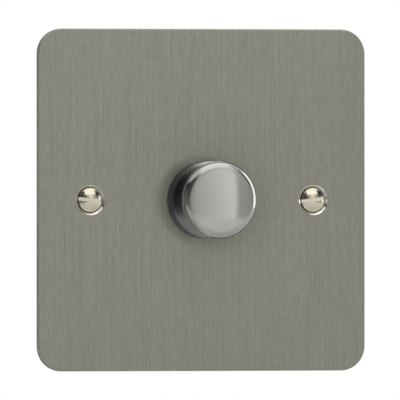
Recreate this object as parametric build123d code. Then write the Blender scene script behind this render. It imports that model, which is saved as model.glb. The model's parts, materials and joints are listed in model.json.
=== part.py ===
from build123d import *
import math
import os

# Rotary dimmer with a push switch, on a flat metal wall plate for a single flush box.
# Sizes are in millimetres. Every piece is drawn lying flat, with x to the right, y up and z out of
# the wall, and z = 0 on the wall's surface. The last step stands the pieces up, so that +Z is up
# and the plate's front looks along -Y.

# Wall plate
plate_size = 88.5
fixing_centres = 60.3
plate_thickness = 1.5
plate_corner_radius = 6.5
plate_edge_radius = 0.5

# Seal between the plate and the wall
gasket_thickness = 0.8
gasket_inset = 1.0
gasket_width = 4.9
gasket_opening_corner = 2.5

# Fixing screws with raised countersunk heads, and their slots' turns from level
fixing_shank_radius = 1.75
fixing_length = 25.0
fixing_head_radius = 3.4
fixing_head_crown = 1.0
fixing_head_sink = 0.6
fixing_slot_width = 0.9
fixing_slot_depth = 1.0
fixing_slot_turns = (-6.0, 7.0)
fixing_tip_chamfer = 0.5
fixing_hole_gap = 0.35
seat_gap = 0.05

# Knob: a metal cap on a moulded core that shows below it as a skirt
push_travel = 1.2
knob_stop_gap = 0.2
knob_skirt_length = 5.0
knob_cap_length = 11.0
knob_cap_wall = 0.8
knob_edge_radius = 1.9
knob_crown = 0.8
knob_press_gap = 0.05
skirt_step = 0.15
skirt_wall = 1.05
sleeve_wall = 1.2
core_web = 1.6
core_rib_count = 6
core_rib_thickness = 1.0
boss_wall = 1.6
recess_gap = 0.5
bush_room = 0.8

# Leaf spring between the core and the spindle's flat
clip_thickness = 0.4
clip_width = 3.0
clip_length = 5.0
clip_start = 0.6
clip_gap = 0.05

# Spindle and the open ring that keeps it in
spindle_radius = 3.0
spindle_flat_depth = 1.5
spindle_fit = 0.05
spindle_end_gap = 0.3
ring_reach = 1.2
ring_thickness = 0.5
ring_groove_depth = 0.6
ring_side_gap = 0.05
ring_room = 0.25
ring_mouth = 4.0
flat_lead = 0.1

# Threaded bush, its nut and toothed washer
bush_radius = 5.0
bush_past_nut = 1.0
bush_flange_thickness = 0.8
bush_flange_inset = 1.0
bush_hole_gap = 0.2
thread_gap = 0.1
tongue_width = 2.0
tongue_thickness = 0.8
tongue_length = 1.2
tongue_offset = 1.6
tongue_gap = 0.15
nut_thickness = 2.0
nut_wall = 2.0
nut_room = 0.72
washer_thickness = 0.6
washer_notch_radius = 0.7
washer_notch_count = 9

# Rotary control: track, wiper and moulded housing
track_gap = 0.4
track_width = 1.5
track_thickness = 0.6
track_mouth = 4.4
stop_depth = 1.0
stop_gap = 0.3
stop_half_angle = 28.0
tooth_half_angle = 10.0
rotor_thickness = 2.0
rotor_end_gap = 0.15
wiper_strip = 0.25
wiper_finger_width = 0.5
wiper_finger_run = 2.6
wiper_gap = 0.05
pot_wall = 1.0
pot_front_wall = 0.9
corner_inset = 1.7
spigot_radius = 0.8
spigot_length = 1.8
spigot_gap = 0.1
pin_width = 1.2
pin_thickness = 0.5
pin_pitch = 4.5
pin_standoff = 0.3
pin_slot_gap = 0.15

# Push switch
switch_wall = 1.2
switch_front_wall = 0.9
switch_rear_wall = 1.0
slider_gap = 0.2
slider_side_gap = 0.3
slider_pocket = 0.8
slider_thickness = 2.2
spring_radius = 2.28
spring_wire_radius = 0.12
spring_turns = 3
spring_seat_gap = 0.03
spring_side_gap = 0.6
contact_spacing = 7.6
contact_button_radius = 0.8
contact_button_height = 0.4
contact_stop_gap = 0.05
bridge_thickness = 0.3
bridge_margin = 0.3
contact_pad_thickness = 0.4
contact_leg_width = 1.2

# Heat sink behind the plate
sink_thickness = 1.5
sink_inset = 0.6
pip_radius = 1.2
pip_height = 1.0
pip_gap = 0.1
ear_length = 9.0
ear_width = 9.0
ear_height = 13.0
ear_corner_radius = 1.4

# Module housing and its cover
module_wall = 1.6
module_corner_radius = 2.0
cover_thickness = 1.6
cover_edge_chamfer = 0.4
cover_panel_width = 26.0
cover_panel_height = 15.0
cover_panel_depth = 0.4
cover_panel_rise = 7.0
cover_post_radius = 1.2
cover_post_inset = 2.2
arm_width = 8.0
arm_length = 6.5
arm_thickness = 1.2
arm_offset = 11.0
lug_width = 4.4
lug_height = 2.2
lug_rise = 1.0
lug_gap = 0.2
lug_edge = 2.0
cover_boss_radius = 2.3
cover_boss_bite = 0.3
cover_screw_radius = 1.1
cover_screw_length = 7.0
cover_screw_head_radius = 2.0
cover_screw_head_height = 1.3
cover_screw_gap = 0.15
cross_width = 0.7
cross_depth = 0.7

# Circuit board and what is soldered to it
component_gap = 0.85
board_thickness = 1.6
board_gap = 0.3
solder_room = 1.5
lead_tail = 0.8
lead_radius = 0.3
lead_hole_gap = 0.15
lead_hole_web = 0.8
transistor_width = 10.2
transistor_body_height = 9.0
transistor_thickness = 4.4
transistor_tab_height = 6.2
transistor_tab_thickness = 1.3
transistor_rise = 3.5
transistor_lead_pitch = 2.54
transistor_lead_width = 0.8
transistor_lead_thickness = 0.5
transistor_lead_run = 1.2
pad_thickness = 0.3
pad_margin = 0.3
tab_screw_radius = 1.5
tab_screw_head_radius = 2.6
tab_screw_head_height = 1.6
tab_hole_gap = 0.3
choke_outer_radius = 5.4
choke_inner_radius = 2.6
choke_height = 4.6
choke_wire = 0.7
choke_wire_gap = 0.1
choke_core_edge = 0.4
film_width = 11.0
film_depth = 6.0
film_height = 7.0
film_edge_radius = 0.5
film_lead_spacing = 7.5
can_radius = 3.1
can_groove_depth = 0.3
can_groove_width = 0.8
can_groove_height = 1.2
can_lead_spacing = 2.5
fuse_radius = 1.4
fuse_length = 7.0
resistor_radius = 0.9
resistor_length = 5.0
resistor_pitch = 2.6
resistor_count = 4
axial_lift = 0.3
axial_lead_run = 1.0
chip_length = 8.6
chip_width = 3.9
chip_height = 1.2
chip_drop = 3.4
chip_lead_pitch = 1.27
chip_lead_width = 0.4
chip_lead_reach = 1.0
chip_lead_thickness = 0.3
chip_leads_per_side = 7

# Wire terminals: brass tunnels with clamp screws, wired from below
terminal_width = 6.5
terminal_height = 10.0
terminal_depth = 9.0
terminal_count = 3
terminal_partition = 3.0
terminal_bore_radius = 1.7
terminal_front_wall = 1.4
terminal_edge_radius = 0.4
terminal_side_gap = 0.1
terminal_tab_width = 2.0
terminal_tab_thickness = 0.8
terminal_tab_overlap = 1.0
wire_hole_gap = 0.4
pin_room = 2.6
bay_wall = 1.2
clamp_screw_radius = 1.5
clamp_screw_gap = 0.05
clamp_screw_back_off = 0.15
clamp_head_radius = 2.3
clamp_head_height = 1.4
clamp_slot_width = 0.7
clamp_slot_depth = 0.8
clamp_well_gap = 0.4
earth_gap = 2.0
earth_rise = 18.0
earth_foot_thickness = 0.8
earth_foot_margin = 2.0

# How far a cutting tool runs past the face that it enters
cut_over = 1.0

# Layers along z, from the wall outwards and then back into the wall
plate_rear = gasket_thickness
plate_front = plate_rear + plate_thickness
nut_front = plate_front + washer_thickness + nut_thickness
bush_front = nut_front + bush_past_nut
knob_rear = plate_front + push_travel + knob_stop_gap
cap_rim = knob_rear + knob_skirt_length
cap_front = cap_rim + knob_cap_length
nut_recess_floor = nut_front + push_travel + recess_gap
bush_recess_floor = bush_front + push_travel + recess_gap
core_inset = knob_cap_wall + knob_press_gap
pocket_roof = cap_front - knob_crown - core_inset - core_web
spindle_front = pocket_roof - spindle_end_gap
sink_rear = plate_rear - sink_thickness
pot_front = sink_rear - bush_flange_thickness
pot_cavity_front = pot_front - pot_front_wall
ring_front = pot_cavity_front - ring_side_gap
ring_rear = ring_front - ring_thickness
track_face = pot_cavity_front - track_thickness
rotor_front = min(ring_rear, track_face) - push_travel - ring_room
rotor_rear = rotor_front - rotor_thickness
pot_rear = rotor_rear - rotor_end_gap
switch_cavity_front = pot_rear - switch_front_wall
slider_front = switch_cavity_front - slider_gap
spindle_rear = slider_front - slider_pocket
slider_rear = slider_front - slider_thickness
bridge_rear = slider_rear - bridge_thickness
button_face = bridge_rear - contact_button_height
pad_face = button_face - push_travel - contact_stop_gap
switch_cavity_rear = pad_face - contact_pad_thickness
board_front = switch_cavity_rear - switch_rear_wall
board_rear = board_front - board_thickness
cover_front = board_rear - solder_room
cover_rear = cover_front - cover_thickness
tail_end = board_rear - lead_tail
pad_rear = sink_rear - pad_thickness
transistor_rear = pad_rear - transistor_thickness
tab_rear = pad_rear - transistor_tab_thickness

# Radii from the spindle outwards
flat_height = spindle_radius - spindle_flat_depth
boss_radius = spindle_radius + boss_wall
ring_radius = spindle_radius + ring_reach
track_inner_radius = ring_radius + track_gap
track_outer_radius = track_inner_radius + track_width
rotor_radius = track_outer_radius
pot_cavity_radius = rotor_radius + stop_depth + stop_gap
pot_half = pot_cavity_radius + pot_wall
corner_place = pot_half - corner_inset
washer_radius = bush_radius + nut_wall
nut_corner_radius = washer_radius / math.cos(math.pi / 6)
recess_radius = nut_corner_radius + nut_room
skirt_radius = recess_radius + skirt_wall
knob_radius = skirt_radius + skirt_step
pip_place = washer_radius + pip_radius
knob_dome_radius = (knob_radius**2 + knob_crown**2) / (2 * knob_crown)
tongue_place = -(bush_radius + tongue_offset)

# Places across the module, worked out from what it holds
inner_half_width = pot_half + 2 * component_gap + transistor_width
module_half_width = inner_half_width + module_wall
side_bay = pot_half + component_gap + transistor_width / 2
choke_radius = choke_outer_radius + choke_wire_gap + choke_wire
bay_top = -(pot_half + pin_room)
terminal_top = bay_top - bay_wall
inner_bottom = terminal_top - terminal_height
inner_top = pot_half + 2 * (choke_radius + component_gap)
module_bottom = inner_bottom - module_wall
module_top = inner_top + module_wall
upper_bay = (pot_half + inner_top) / 2
board_half_width = inner_half_width - board_gap
board_bottom = bay_top + board_gap
board_top = inner_top - board_gap
transistor_bottom = -(pot_half - transistor_rise)
tab_top = transistor_bottom + transistor_body_height + transistor_tab_height
tab_hole_height = tab_top - transistor_tab_height / 2
lead_drop = transistor_bottom - transistor_lead_run
choke_place = -(inner_half_width - component_gap - choke_radius)
film_place = inner_half_width - component_gap - film_width / 2
can_place = transistor_bottom + transistor_body_height / 2
fuse_place = transistor_bottom + lead_hole_web + axial_lead_run + fuse_length / 2
can_height = transistor_rear - component_gap - board_front
spring_outer_radius = spring_radius + spring_wire_radius
bridge_width = 2 * (contact_button_radius + bridge_margin)
contact_height = spring_outer_radius + spring_side_gap + bridge_width / 2
slider_half = pot_half - switch_wall - slider_side_gap
pin_outer = -(pot_half + pin_standoff + pin_thickness)
terminal_pitch = terminal_width + terminal_partition
terminal_middle = terminal_top - terminal_height / 2
terminal_front = cover_front + terminal_depth
cover_boss_x = inner_half_width - cover_boss_radius + cover_boss_bite
cover_boss_y = inner_bottom + cover_boss_radius - cover_boss_bite
earth_x = module_half_width + sink_thickness + earth_gap + terminal_width / 2
earth_front = plate_rear - earth_foot_thickness
fixing_rim = plate_front - fixing_head_sink
sides = (-1, 1)


def span_box(x, y, z):
    """A box between the low and the high value given for each axis."""
    size = [high - low for low, high in (x, y, z)]
    centre = [(high + low) / 2 for low, high in (x, y, z)]
    return Pos(*centre) * Box(*size)


def around(middle, width):
    """The low and high ends of a width about its middle."""
    return (middle - width / 2, middle + width / 2)


def rod(radius, z_from, z_to, x=0.0, y=0.0):
    """A round bar along z."""
    return Pos(x, y, (z_from + z_to) / 2) * Cylinder(radius, abs(z_to - z_from))


def upright_rod(radius, y_from, y_to, x, z):
    """A round bar along y."""
    return Pos(x, (y_from + y_to) / 2, z) * Rot(90, 0, 0) * Cylinder(radius, abs(y_to - y_from))


def tube(outer, inner, z_from, z_to):
    """A round tube along z."""
    return rod(outer, z_from, z_to) - rod(inner, z_from - cut_over, z_to + cut_over)


def rounded_slab(x, y, corner, z):
    """A slab between two values on each axis, with round corners seen from the front."""
    outline = RectangleRounded(x[1] - x[0], y[1] - y[0], corner)
    return Pos((x[0] + x[1]) / 2, (y[0] + y[1]) / 2, z[0]) * extrude(outline, z[1] - z[0])


def turned(*edges):
    """A solid of revolution about z, from the edges of its half section in radius and height."""
    section = Plane.XZ * make_face(Curve() + list(edges))
    return revolve(section, Axis.Z)


def prism(points, z_from, z_to):
    """A straight block along z on an outline of points in x and y."""
    return Pos(0, 0, z_from) * extrude(make_face(Polyline(*points, close=True)), z_to - z_from)


def wedge(half_angle, reach, z_from, z_to, facing):
    """A pie slice about the z axis, to cut a stop to its angle."""
    half_width = reach * math.tan(math.radians(half_angle))
    tip = (0, 0)
    return prism([tip, (-half_width, facing * reach), (half_width, facing * reach)], z_from, z_to)


def flatted_rod(gap, z_from, z_to):
    """The spindle's outline with its flat, grown by a gap, as a bar or a cutting tool."""
    bar = rod(spindle_radius + gap, z_from, z_to)
    over = 2 * spindle_radius
    flat = span_box((-over, over), (flat_height + gap, over), (z_from - cut_over, z_to + cut_over))
    return bar - flat


def cross_slot(radius, z_from, z_to):
    """A cross recess for a screw's head."""
    level = span_box(around(0, 2 * radius), around(0, cross_width), (z_from, z_to))
    upright = span_box(around(0, cross_width), around(0, 2 * radius), (z_from, z_to))
    return level + upright


def front_plate():
    """Flat plate with a rolled front edge, a bush hole, a pip hole and two countersinks."""
    half = plate_size / 2
    reach = (-half, half)
    plate = rounded_slab(reach, reach, plate_corner_radius, (plate_rear, plate_front))
    front_edges = plate.faces().sort_by(Axis.Z)[-1].edges()
    plate = fillet(front_edges, plate_edge_radius)
    low = plate_rear - cut_over
    high = plate_front + cut_over
    plate -= rod(bush_radius + bush_hole_gap, low, high)
    plate -= rod(pip_radius + pip_gap, low, high, y=pip_place)
    for side in sides:
        plate -= Pos(side * fixing_centres / 2, 0, 0) * countersink()
    return plate


def countersink():
    """Cutting tool for one fixing hole: a right-angled cone and a clear hole through."""
    mouth = fixing_head_radius + seat_gap + fixing_head_sink + cut_over
    top = plate_front + cut_over
    hole = fixing_shank_radius + fixing_hole_gap
    cone_end = top - (mouth - hole)
    bottom = min(cone_end, plate_rear) - cut_over
    outline = Polyline((0, bottom), (hole, bottom), (hole, cone_end), (mouth, top), (0, top), (0, bottom))
    return turned(outline)


def plate_gasket():
    """Flat foam frame behind the plate's edge."""
    half = plate_size / 2 - gasket_inset
    opening = half - gasket_width
    outer = (-half, half)
    inner = (-opening, opening)
    corner = plate_corner_radius - gasket_inset
    frame = rounded_slab(outer, outer, corner, (0, gasket_thickness))
    return frame - rounded_slab(inner, inner, gasket_opening_corner, (-cut_over, gasket_thickness + cut_over))


def fixing_screw():
    """Raised countersunk screw with a plain shank, before its slot is cut."""
    tip = fixing_rim - fixing_length
    crown = fixing_rim + fixing_head_crown
    cone_end = fixing_rim - (fixing_head_radius - fixing_shank_radius)
    side = Polyline(
        (0, crown),
        (0, tip),
        (fixing_shank_radius - fixing_tip_chamfer, tip),
        (fixing_shank_radius, tip + fixing_tip_chamfer),
        (fixing_shank_radius, cone_end),
        (fixing_head_radius, fixing_rim),
    )
    dome = TangentArc((0, crown), (fixing_head_radius, fixing_rim), tangent=(1, 0))
    screw = turned(side, dome)
    slot = span_box(
        around(0, 2 * fixing_head_radius + cut_over),
        around(0, fixing_slot_width),
        (crown - fixing_slot_depth, crown + cut_over),
    )
    return screw, slot


def fixing_screws():
    """The two plate screws, each with its slot turned as it was tightened."""
    group = []
    for side, turn in zip(sides, fixing_slot_turns):
        screw, slot = fixing_screw()
        group.append(Pos(side * fixing_centres / 2, 0, 0) * Rot(0, 0, turn) * (screw - slot))
    return Compound(group)


def knob_form(inset, base):
    """The knob's outer form drawn in by an inset: straight side, rounded edge and domed face."""
    radius = knob_radius - inset
    edge = knob_edge_radius - inset
    dome = knob_dome_radius - inset
    top = cap_front - inset
    dome_centre = cap_front - knob_dome_radius
    edge_radius_at = radius - edge
    edge_height = math.sqrt((dome - edge) ** 2 - edge_radius_at**2)
    reach = dome / (dome - edge)
    meeting = (edge_radius_at * reach, dome_centre + edge_height * reach)
    shoulder = (radius, dome_centre + edge_height)
    side = Polyline((0, top), (0, base), (radius, base), shoulder)
    rounded = TangentArc(shoulder, meeting, tangent=(0, 1))
    face = TangentArc((0, top), meeting, tangent=(1, 0))
    return turned(side, rounded, face)


def knob_cap():
    """Thin metal cap, open at its rear rim."""
    return knob_form(0.0, cap_rim) - knob_form(knob_cap_wall, cap_rim - cut_over)


def knob_core():
    """Moulded core: skirt, ribbed sleeve and a boss with a flatted bore."""
    core = knob_form(core_inset, cap_rim)
    core += rod(skirt_radius, knob_rear, cap_rim)
    core -= rod(recess_radius, knob_rear - cut_over, nut_recess_floor)
    core -= rod(bush_radius + bush_room, nut_recess_floor - cut_over, bush_recess_floor)
    sleeve_inner = knob_radius - core_inset - sleeve_wall
    pocket = tube(sleeve_inner, boss_radius, nut_recess_floor, pocket_roof)
    for index in range(core_rib_count):
        reach = (0, knob_radius)
        rib = span_box(reach, around(0, core_rib_thickness), (bush_recess_floor, pocket_roof))
        pocket -= Rot(0, 0, index * 360 / core_rib_count) * rib
    core -= pocket
    core -= flatted_rod(clip_gap, bush_recess_floor - cut_over, spindle_front + spindle_end_gap)
    return core - clip_strip(clip_gap)


def clip_strip(gap):
    """The leaf spring on the spindle's flat, or its slot when grown by a gap."""
    start = bush_recess_floor + clip_start
    return span_box(
        around(0, clip_width + 2 * gap),
        (flat_height + clip_gap - gap, flat_height + clip_gap + clip_thickness + gap),
        (start - gap, start + clip_length + gap),
    )


def spindle():
    """Shaft with a flat for the knob, a ring groove and a flat for the wiper."""
    shaft = rod(spindle_radius, spindle_rear, pot_front)
    shaft += rod(spindle_radius, pot_front, bush_recess_floor)
    shaft += flatted_rod(0.0, bush_recess_floor, spindle_front)
    over = 2 * spindle_radius
    flat_top = rotor_front + push_travel + flat_lead
    shaft -= span_box((-over, over), (flat_height, over), (spindle_rear - cut_over, flat_top))
    groove_radius = spindle_radius - ring_groove_depth
    groove_end = ring_rear - ring_side_gap
    return shaft - tube(over, groove_radius, groove_end, ring_front + ring_side_gap)


def retaining_ring():
    """Open ring in the spindle's groove."""
    bore = spindle_radius - ring_groove_depth + ring_side_gap
    ring = tube(ring_radius, bore, ring_rear, ring_front)
    mouth = span_box(around(0, ring_mouth), (-2 * ring_radius, 0), (ring_rear - cut_over, ring_front + cut_over))
    return ring - mouth


def corner_spigots(radius, z_from, z_to):
    """Four round pegs, one at each corner of the rotary control."""
    pegs = [rod(radius, z_from, z_to, x * corner_place, y * corner_place) for x in sides for y in sides]
    return pegs


def threaded_bush():
    """Bush with a square flange, four pegs into the housing and a tongue against turning."""
    half = pot_half - bush_flange_inset + corner_inset / 2
    bush = span_box((-half, half), (-half, half), (pot_front, sink_rear))
    bush += rod(bush_radius, sink_rear, bush_front)
    for peg in corner_spigots(spigot_radius, pot_front - spigot_length, pot_front):
        bush += peg
    bush += span_box(
        around(0, tongue_width),
        around(tongue_place, tongue_thickness),
        (sink_rear, sink_rear + tongue_length),
    )
    return bush - rod(spindle_radius + spindle_fit, pot_front - cut_over, bush_front + cut_over)


def bush_nut():
    """Thin hexagon nut."""
    base = plate_front + washer_thickness
    blank = Pos(0, 0, base) * extrude(RegularPolygon(nut_corner_radius, 6), nut_thickness)
    return blank - rod(bush_radius + thread_gap, base - cut_over, nut_front + cut_over)


def lock_washer():
    """Washer with teeth around its bore."""
    top = plate_front + washer_thickness
    washer = tube(washer_radius, bush_radius + thread_gap, plate_front, top)
    for index in range(washer_notch_count):
        notch = rod(washer_notch_radius, plate_front - cut_over, top + cut_over, x=bush_radius + thread_gap)
        washer -= Rot(0, 0, index * 360 / washer_notch_count) * notch
    return washer


def pot_pin_places():
    """Where the rotary control's three pins stand, from left to right."""
    return [-pin_pitch, 0.0, pin_pitch]


def pot_pin(x, gap):
    """One bent pin, from the track's end out and back to the board, or its slot."""
    width = around(x, pin_width + 2 * gap)
    inner = -(track_outer_radius + wiper_gap)
    run = (pot_cavity_front - pin_thickness - gap, pot_cavity_front)
    pin = span_box(width, (pin_outer, inner), run)
    return pin + span_box(width, (pin_outer - gap, pin_outer + pin_thickness + gap), (tail_end, run[1]))


def pot_pins():
    """The three pins of the rotary control."""
    return Compound([pot_pin(x, 0.0) for x in pot_pin_places()])


def pot_housing():
    """Square housing, open to the rear, with a stop for the wiper and slots for the pins."""
    sides_at = (-pot_half, pot_half)
    body = span_box(sides_at, sides_at, (pot_rear, pot_front))
    body -= rod(pot_cavity_radius, pot_rear - cut_over, pot_cavity_front)
    body -= rod(spindle_radius + stop_gap, pot_cavity_front - cut_over, pot_front + cut_over)
    stop = tube(pot_cavity_radius + pot_wall / 2, rotor_radius + stop_gap, pot_rear, rotor_front)
    body += stop & wedge(stop_half_angle, 2 * pot_half, pot_rear, rotor_front, -1)
    for peg in corner_spigots(spigot_radius + spigot_gap, pot_front - spigot_length - spigot_gap, pot_front):
        body -= peg
    for peg in corner_spigots(spigot_radius + spigot_gap, pot_rear, pot_rear + spigot_length + spigot_gap):
        body -= peg
    for x in pot_pin_places():
        body -= pot_pin(x, pin_slot_gap)
    return body


def resistor_track():
    """Horseshoe track on the housing's front wall."""
    ring = tube(track_outer_radius, track_inner_radius, track_face, pot_cavity_front)
    depth = (track_face - cut_over, pot_cavity_front + cut_over)
    return ring - span_box(around(0, track_mouth), (-2 * track_outer_radius, 0), depth)


def wiper_rotor():
    """Disc with a flatted hole and a tooth that meets the housing's stop."""
    disc = rod(rotor_radius, rotor_rear, rotor_front)
    ring = tube(rotor_radius + stop_depth, rotor_radius / 2, rotor_rear, rotor_front)
    disc += ring & wedge(tooth_half_angle, 2 * pot_half, rotor_rear, rotor_front, 1)
    return disc - flatted_rod(spindle_fit, rotor_rear - cut_over, rotor_front + cut_over)


def wiper_contact():
    """Bent strip on the rotor, with two fingers that rise to the track."""
    base = tube(track_outer_radius, track_inner_radius, rotor_front, rotor_front + wiper_strip)
    keep = (rotor_front - cut_over, rotor_front + cut_over)
    strip = base & span_box((-rotor_radius, rotor_radius), (rotor_radius / 2, rotor_radius), keep)
    middle = (track_inner_radius + track_outer_radius) / 2
    tip = track_face - wiper_gap
    for side in sides:
        run = side * wiper_finger_run
        outline = [
            (0, rotor_front),
            (side * wiper_strip, rotor_front),
            (run, tip - wiper_strip),
            (run, tip),
            (run - side * wiper_strip, tip),
        ]
        flat = make_face(Polyline(*outline, close=True))
        finger = extrude(Plane.XZ * flat, wiper_finger_width / 2, both=True)
        strip += Pos(0, middle - wiper_finger_width / 2, 0) * finger
    return strip


def switch_housing():
    """Square housing of the push switch, pegged to the rotary control."""
    sides_at = (-pot_half, pot_half)
    cavity_half = pot_half - switch_wall
    cavity = (-cavity_half, cavity_half)
    body = span_box(sides_at, sides_at, (board_front, pot_rear))
    body -= span_box(cavity, cavity, (switch_cavity_rear, switch_cavity_front))
    body -= rod(spindle_radius + stop_gap, switch_cavity_front - cut_over, pot_rear + cut_over)
    for peg in corner_spigots(spigot_radius, pot_rear, pot_rear + spigot_length):
        body += peg
    for side in sides:
        body -= contact_leg(side, pin_slot_gap)
    return body


def switch_slider():
    """Square slider with a pocket for the spindle's end and a peg for the spring."""
    across = (-slider_half, slider_half)
    slider = span_box(across, across, (slider_rear, slider_front))
    slider -= rod(spindle_radius + pin_slot_gap, spindle_rear, slider_front + cut_over)
    peg_radius = spring_radius - spring_wire_radius - spring_side_gap / 2
    return slider + rod(peg_radius, button_face, slider_rear)


def contact_bridge():
    """Copper strip on the slider with two contact buttons."""
    half_length = contact_spacing / 2 + contact_button_radius + bridge_margin
    across = around(contact_height, bridge_width)
    bridge = span_box((-half_length, half_length), across, (bridge_rear, slider_rear))
    for side in sides:
        x = side * contact_spacing / 2
        bridge += rod(contact_button_radius, button_face, bridge_rear, x=x, y=contact_height)
    return bridge


def contact_leg(side, gap):
    """The leg of one fixed contact, or its slot when grown by a gap."""
    return span_box(
        around(side * contact_spacing / 2, contact_leg_width + 2 * gap),
        around(contact_height, contact_pad_thickness + 2 * gap),
        (tail_end, switch_cavity_rear),
    )


def fixed_contacts():
    """Two contact pads on the switch's rear wall, with legs to the board."""
    group = []
    for side in sides:
        x = around(side * contact_spacing / 2, bridge_width)
        pad = span_box(x, around(contact_height, bridge_width), (switch_cavity_rear, pad_face))
        group.append(pad + contact_leg(side, 0.0))
    return Compound(group)


def return_spring():
    """Coil spring between the switch's rear wall and the slider."""
    low = switch_cavity_rear + spring_wire_radius + spring_seat_gap
    height = slider_rear - spring_wire_radius - spring_seat_gap - low
    path = Helix(height / spring_turns, height, spring_radius, center=(0, 0, low))
    section = Plane(origin=path @ 0, z_dir=path % 0) * Circle(spring_wire_radius)
    return sweep(section, path=path, is_frenet=True)


def ear_places():
    """Side and height of the heat sink's four folded ears, clear of the fixing screws."""
    return [(x, y) for x in sides for y in (-ear_height, ear_height)]


def lug_on_side(x_side, y, gap):
    """A snap lug on the housing's flank for one ear, or its window when grown by a gap."""
    middle = sink_rear - ear_length + lug_edge + lug_height / 2
    reach = lug_rise + 2 * sink_thickness * (gap > 0)
    flank = sorted((x_side * (module_half_width - module_wall / 2), x_side * (module_half_width + reach)))
    return span_box(flank, around(y, lug_width + 2 * gap), around(middle, lug_height + 2 * gap))


def heat_sink():
    """Aluminium plate with four ears folded back along the housing."""
    half = module_half_width - sink_inset
    outer = module_half_width + sink_thickness
    sink = span_box((-half, half), (module_bottom, module_top), (sink_rear, plate_rear))
    for x_side, y in ear_places():
        bend = sorted((x_side * half, x_side * outer))
        flank = sorted((x_side * module_half_width, x_side * outer))
        arm = span_box(bend, around(y, ear_width), (sink_rear, plate_rear))
        arm += span_box(flank, around(y, ear_width), (sink_rear - ear_length, plate_rear))
        corner = arm.edges().filter_by(Axis.Y).group_by(Axis.Z)[-1].sort_by(Axis.X)
        outer_corner = corner[-1] if x_side > 0 else corner[0]
        arm = fillet(outer_corner, ear_corner_radius)
        sink += arm
        sink -= lug_on_side(x_side, y, lug_gap)
    low = sink_rear - cut_over
    high = plate_rear + cut_over
    sink -= rod(bush_radius + bush_hole_gap, low, high)
    sink -= span_box(
        around(0, tongue_width + 2 * tongue_gap),
        around(tongue_place, tongue_thickness + 2 * tongue_gap),
        (low, high),
    )
    for side in sides:
        sink -= rod(tab_screw_radius, low, high, x=side * side_bay, y=tab_hole_height)
    return sink + rod(pip_radius, plate_rear, plate_rear + pip_height, y=pip_place)


def snap_arm_places():
    """Where the cover's two snap arms stand on the housing's top."""
    return [side * arm_offset for side in sides]


def lug_on_top(x, gap):
    """A snap lug on the housing's top for one cover arm, or its window when grown by a gap."""
    middle = cover_front + arm_length - lug_edge - lug_height / 2
    reach = lug_rise + 2 * arm_thickness * (gap > 0)
    rise = (module_top - module_wall / 2, module_top + reach)
    return span_box(around(x, lug_width + 2 * gap), rise, around(middle, lug_height + 2 * gap))


def terminal_places():
    """The middles of the wire terminals, from left to right."""
    first = -(terminal_count - 1) / 2
    return [(first + index) * terminal_pitch for index in range(terminal_count)]


def module_housing():
    """Moulded box, open to the front and rear, with a terminal bay along its bottom."""
    across = (-module_half_width, module_half_width)
    inner = (-inner_half_width, inner_half_width)
    depth = (cover_front, sink_rear)
    through = (cover_front - cut_over, sink_rear + cut_over)
    body = rounded_slab(across, (module_bottom, module_top), module_corner_radius, depth)
    body -= span_box(inner, (inner_bottom, inner_top), through)
    shelf = (terminal_front, terminal_front + bay_wall)
    body += span_box(inner, (inner_bottom, bay_top), shelf)
    body += span_box(inner, (terminal_top, bay_top), (cover_front, terminal_front))
    rib = terminal_partition - 2 * terminal_side_gap
    for left, right in zip(terminal_places(), terminal_places()[1:]):
        body += span_box(around((left + right) / 2, rib), (inner_bottom, terminal_top), (cover_front, terminal_front))
    for side in sides:
        body += rod(cover_boss_radius, cover_front, terminal_front, x=side * cover_boss_x, y=cover_boss_y)
    for side in sides:
        body -= rod(
            cover_screw_radius + cover_screw_gap,
            cover_front - cut_over,
            cover_rear + cover_screw_length + cut_over,
            x=side * cover_boss_x,
            y=cover_boss_y,
        )
    bore_depth = terminal_front - terminal_front_wall - terminal_bore_radius
    for x in terminal_places():
        wire_hole = terminal_bore_radius + wire_hole_gap
        body -= upright_rod(wire_hole, module_bottom - cut_over, inner_bottom + terminal_side_gap, x, bore_depth)
        tab_way = around(x, terminal_tab_width + 2 * terminal_side_gap)
        notch_top = board_front + terminal_tab_thickness + terminal_side_gap
        body -= span_box(tab_way, (terminal_top - terminal_side_gap, bay_top + cut_over), (cover_front, notch_top))
    for x_side, y in ear_places():
        body += lug_on_side(x_side, y, 0.0)
    for x in snap_arm_places():
        body += lug_on_top(x, 0.0)
    return body - span_box(inner, (bay_top, inner_top), through)


def rear_cover():
    """Snap-on back with wells over the clamp screws and two posts behind the board."""
    across = (-module_half_width, module_half_width)
    cover = rounded_slab(across, (module_bottom, module_top), module_corner_radius, (cover_rear, cover_front))
    rear_edges = cover.faces().sort_by(Axis.Z)[0].edges()
    cover = chamfer(rear_edges, cover_edge_chamfer)
    panel_middle = cover_panel_rise
    cover -= span_box(
        around(0, cover_panel_width),
        around(panel_middle, cover_panel_height),
        (cover_rear - cut_over, cover_rear + cover_panel_depth),
    )
    for x in terminal_places():
        well = clamp_head_radius + clamp_well_gap
        cover -= rod(well, cover_rear - cut_over, cover_front + cut_over, x=x, y=terminal_middle)
    for side in sides:
        hole = cover_screw_radius + cover_screw_gap
        x = side * cover_boss_x
        cover -= rod(hole, cover_rear - cut_over, cover_front + cut_over, x=x, y=cover_boss_y)
        post = side * (inner_half_width - cover_post_inset)
        cover += rod(cover_post_radius, cover_front, board_rear, x=post, y=inner_top - cover_post_inset)
    for x in snap_arm_places():
        wall = (module_top, module_top + arm_thickness)
        cover += span_box(around(x, arm_width), wall, (cover_rear + cover_edge_chamfer, cover_front + arm_length))
        foot = (module_top - module_wall, module_top)
        cover += span_box(around(x, arm_width), foot, (cover_rear + cover_edge_chamfer, cover_front))
        cover -= lug_on_top(x, lug_gap)
    return cover


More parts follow.
